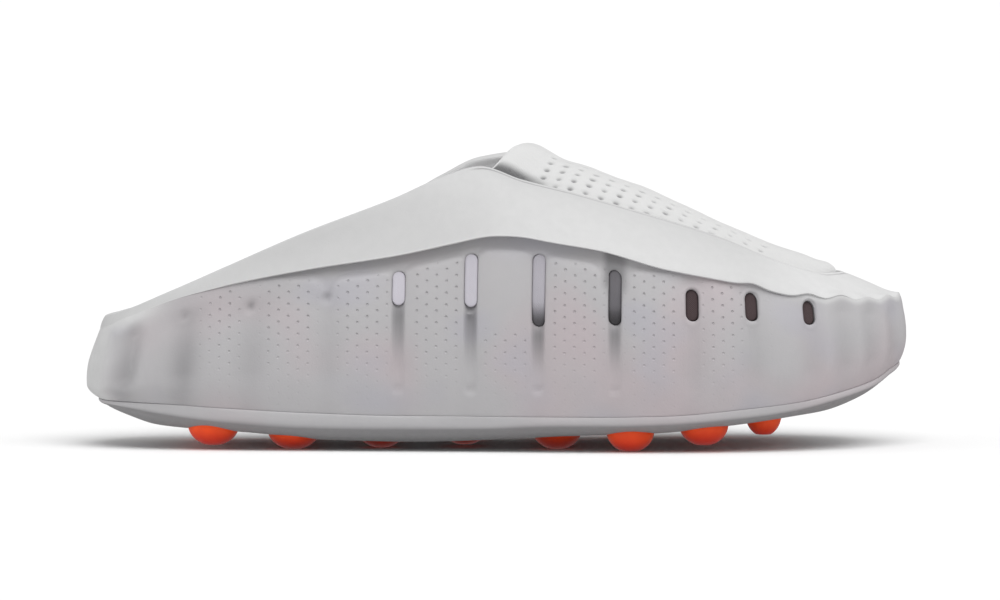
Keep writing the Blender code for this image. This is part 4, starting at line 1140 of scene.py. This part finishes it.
def make_footbed(textile):
    """The textile-covered footbed, dished a little, with a rounded edge."""
    t = np.arange(360) * (LOOP_LENGTH / 360)
    rows = Rows()
    core = core_loop(t)
    low = inside_wall(t, footbed_z(OUT_X(t)) + FIT_GAP, INSOLE_EDGE_GAP)
    high = inside_wall(t, low[:, 2] + INSOLE_THICKNESS, INSOLE_EDGE_GAP)
    level = out_way(t)
    chain = []
    for share in (1.0, 0.5):
        chain.append(rows.add(to_core(low, core, share, lambda x: footbed_z(x) + FIT_GAP)))
    chain.append(rows.add(low))
    for turned in np.radians((0, 30, 60)):
        point = high - level * INSOLE_EDGE_ROUND * (1.0 - math.cos(turned))
        point[:, 2] -= INSOLE_EDGE_ROUND * (1.0 - math.sin(turned))
        chain.append(rows.add(point))
    for share in (0.0, 0.08, 0.18, 0.3, 0.44, 0.6, 0.8, 1.0):
        point = to_core(high - level * INSOLE_EDGE_ROUND, core, share, footbed_z)
        point[:, 2] += FIT_GAP + INSOLE_THICKNESS - INSOLE_DISH * share * (2 - share)
        chain.append(rows.add(point))
    rows.zip_across(chain[0])
    rows.join(*chain)
    rows.zip_across(chain[-1])
    placed(rows.make("footbed", textile), "insole_grey", "insole")


def make_pods(rubber):
    """The smooth domes in their sockets."""
    for number, (x, y, low, radius) in enumerate(pod_places(), 1):
        flat_angle = math.asin(POD_FLAT / radius)
        drop = POD_DROP / math.cos(flat_angle)
        rows = Rows()
        chain = []
        for lift in np.linspace(flat_angle * 0.5, math.pi / 2, 13):
            high = max(POD_DROP - drop * math.cos(lift), 0.0)
            chain.append(rows.add(level_ring(x, y, low + high, radius * math.sin(lift), 56)))
        chain.append(rows.add(level_ring(x, y, low + POD_HEIGHT, radius, 56)))
        rows.faces.append(tuple(chain[0]))
        rows.join(*chain)
        rows.faces.append(tuple(chain[-1]))
        placed(rows.make(f"dome_{number:02d}", rubber), "pod_orange", f"pod_{number:02d}")


# Materials

class Graph:
    """A material with one Principled shader, and short calls that add nodes to it."""

    def __init__(self, name, roughness):
        self.material = bpy.data.materials.new(name)
        self.material.use_nodes = True
        self.tree = self.material.node_tree
        self.shader = self.tree.nodes["Principled BSDF"]
        self.shader.inputs["Roughness"].default_value = roughness
        self.shader.inputs["Metallic"].default_value = 0.0
        self.place = self.add("ShaderNodeTexCoord").outputs["Object"]

    def add(self, kind, **settings):
        made = self.tree.nodes.new(kind)
        for name, value in settings.items():
            setattr(made, name, value)
        return made

    def put(self, socket, value):
        if isinstance(value, bpy.types.NodeSocket):
            self.tree.links.new(value, socket)
        else:
            socket.default_value = value

    def mark(self, name):
        """A named value at the mesh's points."""
        return self.add("ShaderNodeAttribute", attribute_name=name).outputs["Fac"]

    def maths(self, operation, *values):
        made = self.add("ShaderNodeMath", operation=operation)
        for socket, value in zip(made.inputs, values):
            self.put(socket, value)
        return made.outputs["Value"]

    def ramp(self, value, low, high, to_low=0.0, to_high=1.0):
        """A smooth change between two values."""
        made = self.add("ShaderNodeMapRange", interpolation_type="SMOOTHSTEP")
        for name, given in (
            ("Value", value), ("From Min", low), ("From Max", high), ("To Min", to_low), ("To Max", to_high),
        ):
            self.put(made.inputs[name], given)
        return made.outputs["Result"]

    def noise(self, scale, detail=2.0, rough=0.5, stretch=(1, 1, 1)):
        place = self.add("ShaderNodeMapping")
        self.put(place.inputs["Vector"], self.place)
        place.inputs["Scale"].default_value = stretch
        made = self.add("ShaderNodeTexNoise")
        self.put(made.inputs["Vector"], place.outputs["Vector"])
        made.inputs["Scale"].default_value = scale
        made.inputs["Detail"].default_value = detail
        made.inputs["Roughness"].default_value = rough
        return made.outputs["Fac"]

    def mix(self, share, first, second):
        """Colour between two colours."""
        made = self.add("ShaderNodeMix", data_type="RGBA")
        self.put(made.inputs[0], share)
        for socket, value in ((made.inputs[6], first), (made.inputs[7], second)):
            self.put(socket, (*value, 1.0) if isinstance(value, tuple) else value)
        return made.outputs[2]

    def clouded(self, first, second, noise, low, high, share):
        """The first colour with soft clouds of the second, where the noise passes from low to high."""
        return self.mix(self.ramp(noise, low, high, 0.0, share), first, second)

    def knit(self, pitch, across_pitch, height):
        """Fine knitted relief, from the place in the shoe."""
        split = self.add("ShaderNodeSeparateXYZ")
        self.put(split.inputs["Vector"], self.place)
        along = self.maths("SINE", self.maths("MULTIPLY", split.outputs["X"], 2 * math.pi / (pitch * MM)))
        side = self.maths("ADD", split.outputs["Y"], split.outputs["Z"])
        around = self.maths("SINE", self.maths("MULTIPLY", side, 2 * math.pi / (across_pitch * MM)))
        return self.bump(self.maths("MULTIPLY", along, around), height)

    def facing_down(self, low, high):
        """0 where the surface faces up or sideways, rising to 1 where it faces the floor."""
        split = self.add("ShaderNodeSeparateXYZ")
        self.put(split.inputs["Vector"], self.add("ShaderNodeNewGeometry").outputs["Normal"])
        return self.ramp(split.outputs["Z"], low, high, 0.0, 1.0)

    def bump(self, height, distance, under=None, strength=1.0):
        made = self.add("ShaderNodeBump")
        made.inputs["Strength"].default_value = strength
        made.inputs["Distance"].default_value = distance
        self.put(made.inputs["Height"], height)
        if under is not None:
            self.put(made.inputs["Normal"], under)
        return made.outputs["Normal"]

    def finish(self, colour, normal=None, roughness=None):
        self.put(self.shader.inputs["Base Color"], colour)
        if normal is not None:
            self.put(self.shader.inputs["Normal"], normal)
        if roughness is not None:
            self.put(self.shader.inputs["Roughness"], roughness)
        return self.material


SIDE_GREY = (0.372, 0.364, 0.373)
SIDE_PINK = (0.398, 0.345, 0.360)
SIDE_LILAC = (0.350, 0.343, 0.378)
PAINTED_SHADE_GREY = (0.130, 0.128, 0.133)
BAND_GREY = (0.500, 0.500, 0.500)
PAINTED_LIGHT_GREY = (0.820, 0.820, 0.820)
SOLE_GREY = (0.378, 0.371, 0.380)
VAMP_WHITE = (0.585, 0.585, 0.583)
VAMP_CLOUD = (0.540, 0.540, 0.540)
VAMP_SHADE = (0.100, 0.100, 0.102)
LINING_SHADE = (0.055, 0.052, 0.056)
VAMP_HOLE_SHADE = (0.160, 0.160, 0.165)
LINING_WHITE = (0.800, 0.790, 0.810)
LINING_LILAC = (0.740, 0.725, 0.760)
PAD_LILAC = (0.485, 0.467, 0.515)
PAD_CLOUD = (0.450, 0.437, 0.480)
# The toe lining's near-black: partly its own colour, partly painted shade of the toe box's inside
TOE_LINING_BROWN_AND_SHADE = (0.050, 0.031, 0.033)
TOE_LINING_CLOUD_AND_SHADE = (0.043, 0.028, 0.030)
FOOTBED_GREY = (0.420, 0.420, 0.425)
FOOTBED_FLECK = (0.520, 0.520, 0.530)
POD_ORANGE = (0.880, 0.082, 0.010)
POD_RED_CLOUD_AND_SHADE = (0.500, 0.016, 0.008)
UNDER_SHADE_GREY = (0.150, 0.147, 0.150)
FLOOR_WHITE = (0.840, 0.840, 0.840)
FLOOR_CLOUD = (0.800, 0.800, 0.800)
FLECK_GREY = (0.300, 0.300, 0.310)


def foam_material():
    """Moulded foam: satin grey, faint pink and lilac clouds, a fine skin, dimples on the ribs, painted shade
    and light.
    """
    graph = Graph("foam", 0.55)

    def from_cell_middle(at, size):
        return graph.maths("MULTIPLY", graph.maths("SUBTRACT", graph.maths("FRACT", at), 0.5), size)

    column_at = graph.maths("DIVIDE", graph.mark("arc"), DIMPLE_COLUMN)
    across = from_cell_middle(column_at, DIMPLE_COLUMN)
    odd_column = graph.maths("FLOORED_MODULO", graph.maths("FLOOR", column_at), 2.0)
    stagger = graph.maths("MULTIPLY", odd_column, 0.5)
    row_at = graph.maths("ADD", graph.maths("DIVIDE", graph.mark("rise"), DIMPLE_PITCH), stagger)
    upward = from_cell_middle(row_at, DIMPLE_PITCH)
    squares = [graph.maths("MULTIPLY", way, way) for way in (across, upward)]
    away = graph.maths("SQRT", graph.maths("ADD", *squares))
    round_dent = graph.ramp(away, DIMPLE_WIDTH * 0.15, DIMPLE_WIDTH * 0.85, 1.0, 0.0)
    dent = graph.maths("MULTIPLY", round_dent, graph.mark("dimple"))

    colour = graph.clouded(SIDE_GREY, SIDE_PINK, graph.noise(22.0, 1.0), 0.46, 0.70, 0.85)
    tall_noise = graph.noise(31.0, 1.0, stretch=(1.0, 1.0, 1.4))
    colour = graph.clouded(colour, SIDE_LILAC, tall_noise, 0.52, 0.72, 0.6)
    # The band's lighter grey is partly its own tone, partly painted light on faces turned up and on the heel's
    # end
    colour = graph.mix(graph.mark("band"), colour, BAND_GREY)
    # Painted light from the pale mark
    colour = graph.mix(graph.mark("pale"), colour, PAINTED_LIGHT_GREY)
    colour = graph.clouded(colour, FLECK_GREY, graph.noise(260.0, 3.0), 0.3, 0.7, 0.06)
    # Painted shade in the dimples
    colour = graph.mix(graph.maths("MULTIPLY", dent, 0.17), colour, PAINTED_SHADE_GREY)
    # Painted shade from the shade mark: hollows, under the band, the band and the slot walls
    colour = graph.mix(graph.mark("shade"), colour, PAINTED_SHADE_GREY)

    skin = graph.bump(graph.noise(1500.0, 3.0, 0.6), 0.00006)
    fold = graph.bump(graph.noise(60.0, 1.0), 0.0004, skin, 0.35)
    normal = graph.bump(graph.maths("MULTIPLY", dent, -1.0), 0.00042, fold)
    roughness = graph.ramp(graph.noise(420.0, 2.0), 0.3, 0.7, 0.50, 0.62)
    return graph.finish(colour, normal, roughness)


def sole_material():
    """The same foam on the sole, with painted shade where it faces the floor."""
    graph = Graph("sole_foam", 0.6)
    colour = graph.clouded(SOLE_GREY, SIDE_PINK, graph.noise(22.0, 1.0), 0.50, 0.72, 0.5)
    colour = graph.clouded(colour, FLECK_GREY, graph.noise(260.0, 3.0), 0.3, 0.7, 0.08)
    # Painted shade on faces that turn to the floor
    colour = graph.mix(graph.maths("MULTIPLY", graph.facing_down(-0.20, -0.75), 0.70), colour, UNDER_SHADE_GREY)
    skin = graph.bump(graph.noise(1500.0, 3.0, 0.6), 0.00006)
    normal = graph.bump(graph.noise(75.0, 1.0), 0.0006, skin, 0.4)
    roughness = graph.ramp(graph.noise(420.0, 2.0), 0.3, 0.7, 0.55, 0.68)
    return graph.finish(colour, normal, roughness)


def vamp_material():
    """Near-white knitted textile; painted shade darkens the perforations, the throat's pocket and the edge
    line.
    """
    graph = Graph("vamp_textile", 0.85)
    graph.shader.inputs["Sheen Weight"].default_value = 0.25
    graph.shader.inputs["Sheen Roughness"].default_value = 0.5
    colour = graph.clouded(VAMP_WHITE, VAMP_CLOUD, graph.noise(55.0, 2.0), 0.35, 0.7, 0.22)
    # Painted shade in the perforations' dents
    colour = graph.clouded(colour, VAMP_HOLE_SHADE, graph.mark("dent"), 0.15, 0.85, 0.78)
    colour = graph.mix(graph.mark("shade"), colour, VAMP_SHADE)
    normal = graph.bump(graph.noise(900.0, 3.0, 0.6), 0.00010, graph.knit(0.9, 1.1, 0.00007))
    return graph.finish(colour, normal)


def lining_material(name, plain, cloud, roughness=0.8, sheen=0.15, scale=80.0):
    """Smooth lining textile with faint clouds, and painted shade from the shade mark."""
    graph = Graph(name, roughness)
    graph.shader.inputs["Sheen Weight"].default_value = sheen
    colour = graph.clouded(plain, cloud, graph.noise(scale, 2.0), 0.35, 0.7, 0.3)
    colour = graph.mix(graph.mark("shade"), colour, LINING_SHADE)
    return graph.finish(colour, graph.knit(0.8, 0.9, 0.00005))


def footbed_material():
    """Grey woven cover of the footbed."""
    graph = Graph("footbed_textile", 0.9)
    graph.shader.inputs["Sheen Weight"].default_value = 0.2
    colour = graph.clouded(FOOTBED_GREY, FOOTBED_FLECK, graph.noise(1300.0, 2.0), 0.4, 0.65, 0.45)
    normal = graph.bump(graph.noise(1100.0, 3.0, 0.6), 0.00012, graph.knit(1.2, 1.2, 0.00012))
    return graph.finish(colour, normal)


def pod_material():
    """Bright orange foam rubber, deeper red in its clouds, and painted shade of deeper red underneath."""
    graph = Graph("pod_rubber", 0.5)
    graph.shader.inputs["Specular IOR Level"].default_value = 0.25
    graph.shader.inputs["Subsurface Weight"].default_value = 0.15
    graph.shader.inputs["Subsurface Scale"].default_value = 0.003
    graph.shader.inputs["Subsurface Radius"].default_value = (1.0, 0.25, 0.1)
    colour = graph.clouded(POD_ORANGE, POD_RED_CLOUD_AND_SHADE, graph.noise(70.0, 2.0), 0.40, 0.75, 0.45)
    # Painted shade: deeper red on faces that turn to the floor
    colour = graph.mix(graph.maths("MULTIPLY", graph.facing_down(-0.10, -0.90), 0.80), colour, POD_RED_CLOUD_AND_SHADE)
    return graph.finish(colour, graph.bump(graph.noise(1200.0, 3.0, 0.6), 0.00008))


# Floor, light and camera

ROOM_LIGHT = 0.50
FLOOR_REACH = 20.0
# Lights: name, azimuth and elevation in degrees, strength, and softness in degrees
LIGHTS = (
    ("light_above", 16.0, 62.0, 2.15, 50.0),
    ("light_heel", -82.0, 3.0, 1.20, 40.0),
    ("light_toe", 64.0, 42.0, 0.66, 40.0),
)


def make_stage():
    """A plain pale floor, soft lights and a white room."""
    mesh = bpy.data.meshes.new("floor")
    corners = [(x * FLOOR_REACH, y * FLOOR_REACH, 0.0) for x, y in ((-1, -1), (1, -1), (1, 1), (-1, 1))]
    mesh.from_pydata(corners, [], [(0, 1, 2, 3)])
    graph = Graph("floor_pale", 0.8)
    mesh.materials.append(graph.finish(
        graph.clouded(FLOOR_WHITE, FLOOR_CLOUD, graph.noise(3.0, 2.0), 0.3, 0.7, 0.02)
    ))
    floor = in_scene("floor", mesh)
    floor.visible_glossy = False

    world = bpy.data.worlds.new("room")
    world.use_nodes = True
    back = world.node_tree.nodes["Background"]
    back.inputs["Color"].default_value = (1.0, 1.0, 1.0, 1.0)
    back.inputs["Strength"].default_value = ROOM_LIGHT
    bpy.context.scene.world = world

    for name, azimuth, elevation, strength, softness in LIGHTS:
        light = bpy.data.lights.new(name, "SUN")
        light.energy = strength
        light.angle = math.radians(softness)
        lamp = in_scene(name, light)
        a, e = math.radians(azimuth), math.radians(elevation)
        towards = Vector((math.sin(a) * math.cos(e), -math.cos(a) * math.cos(e), math.sin(e)))
        lamp.rotation_mode = "QUATERNION"
        lamp.rotation_quaternion = towards.to_track_quat("Z", "Y")
        lamp.location = towards


def make_camera():
    """The photograph's view of the lateral side."""
    lens = bpy.data.cameras.new("camera")
    lens.sensor_width = SENSOR_WIDTH
    lens.lens = SENSOR_WIDTH * CAMERA_DISTANCE / (IMAGE_WIDTH * PIXEL_SIZE)
    lens.clip_start = 0.1
    lens.clip_end = 100.0
    camera = in_scene("camera", lens)
    elevation = math.radians(CAMERA_ELEVATION)
    back = Vector((0.0, -math.cos(elevation), math.sin(elevation)))
    camera.location = Vector(LOOK_AT) + back * CAMERA_DISTANCE
    camera.rotation_mode = "QUATERNION"
    camera.rotation_quaternion = back.to_track_quat("Z", "Y")
    bpy.context.scene.camera = camera


def main():
    bpy.context.scene.view_settings.view_transform = "Standard"
    make_camera()
    make_stage()
    make_shell(foam_material())
    make_heel_lining(lining_material("lining_textile", LINING_WHITE, LINING_LILAC))
    make_slot_pads("slot_pads", PADS, lining_material("pad_textile", PAD_LILAC, PAD_CLOUD))
    # Near-black textile for the toe lining and its pads: partly its own colour, partly painted shade
    brown_and_shade = lining_material("toe_lining_textile", TOE_LINING_BROWN_AND_SHADE, TOE_LINING_CLOUD_AND_SHADE, 0.85, 0.0, 90.0)
    make_toe_lining(brown_and_shade)
    make_slot_pads("toe_slot_pads", TOE_PADS, brown_and_shade)
    make_vamp(vamp_material())
    make_footbed(footbed_material())
    make_sole(sole_material())
    make_pods(pod_material())


main()
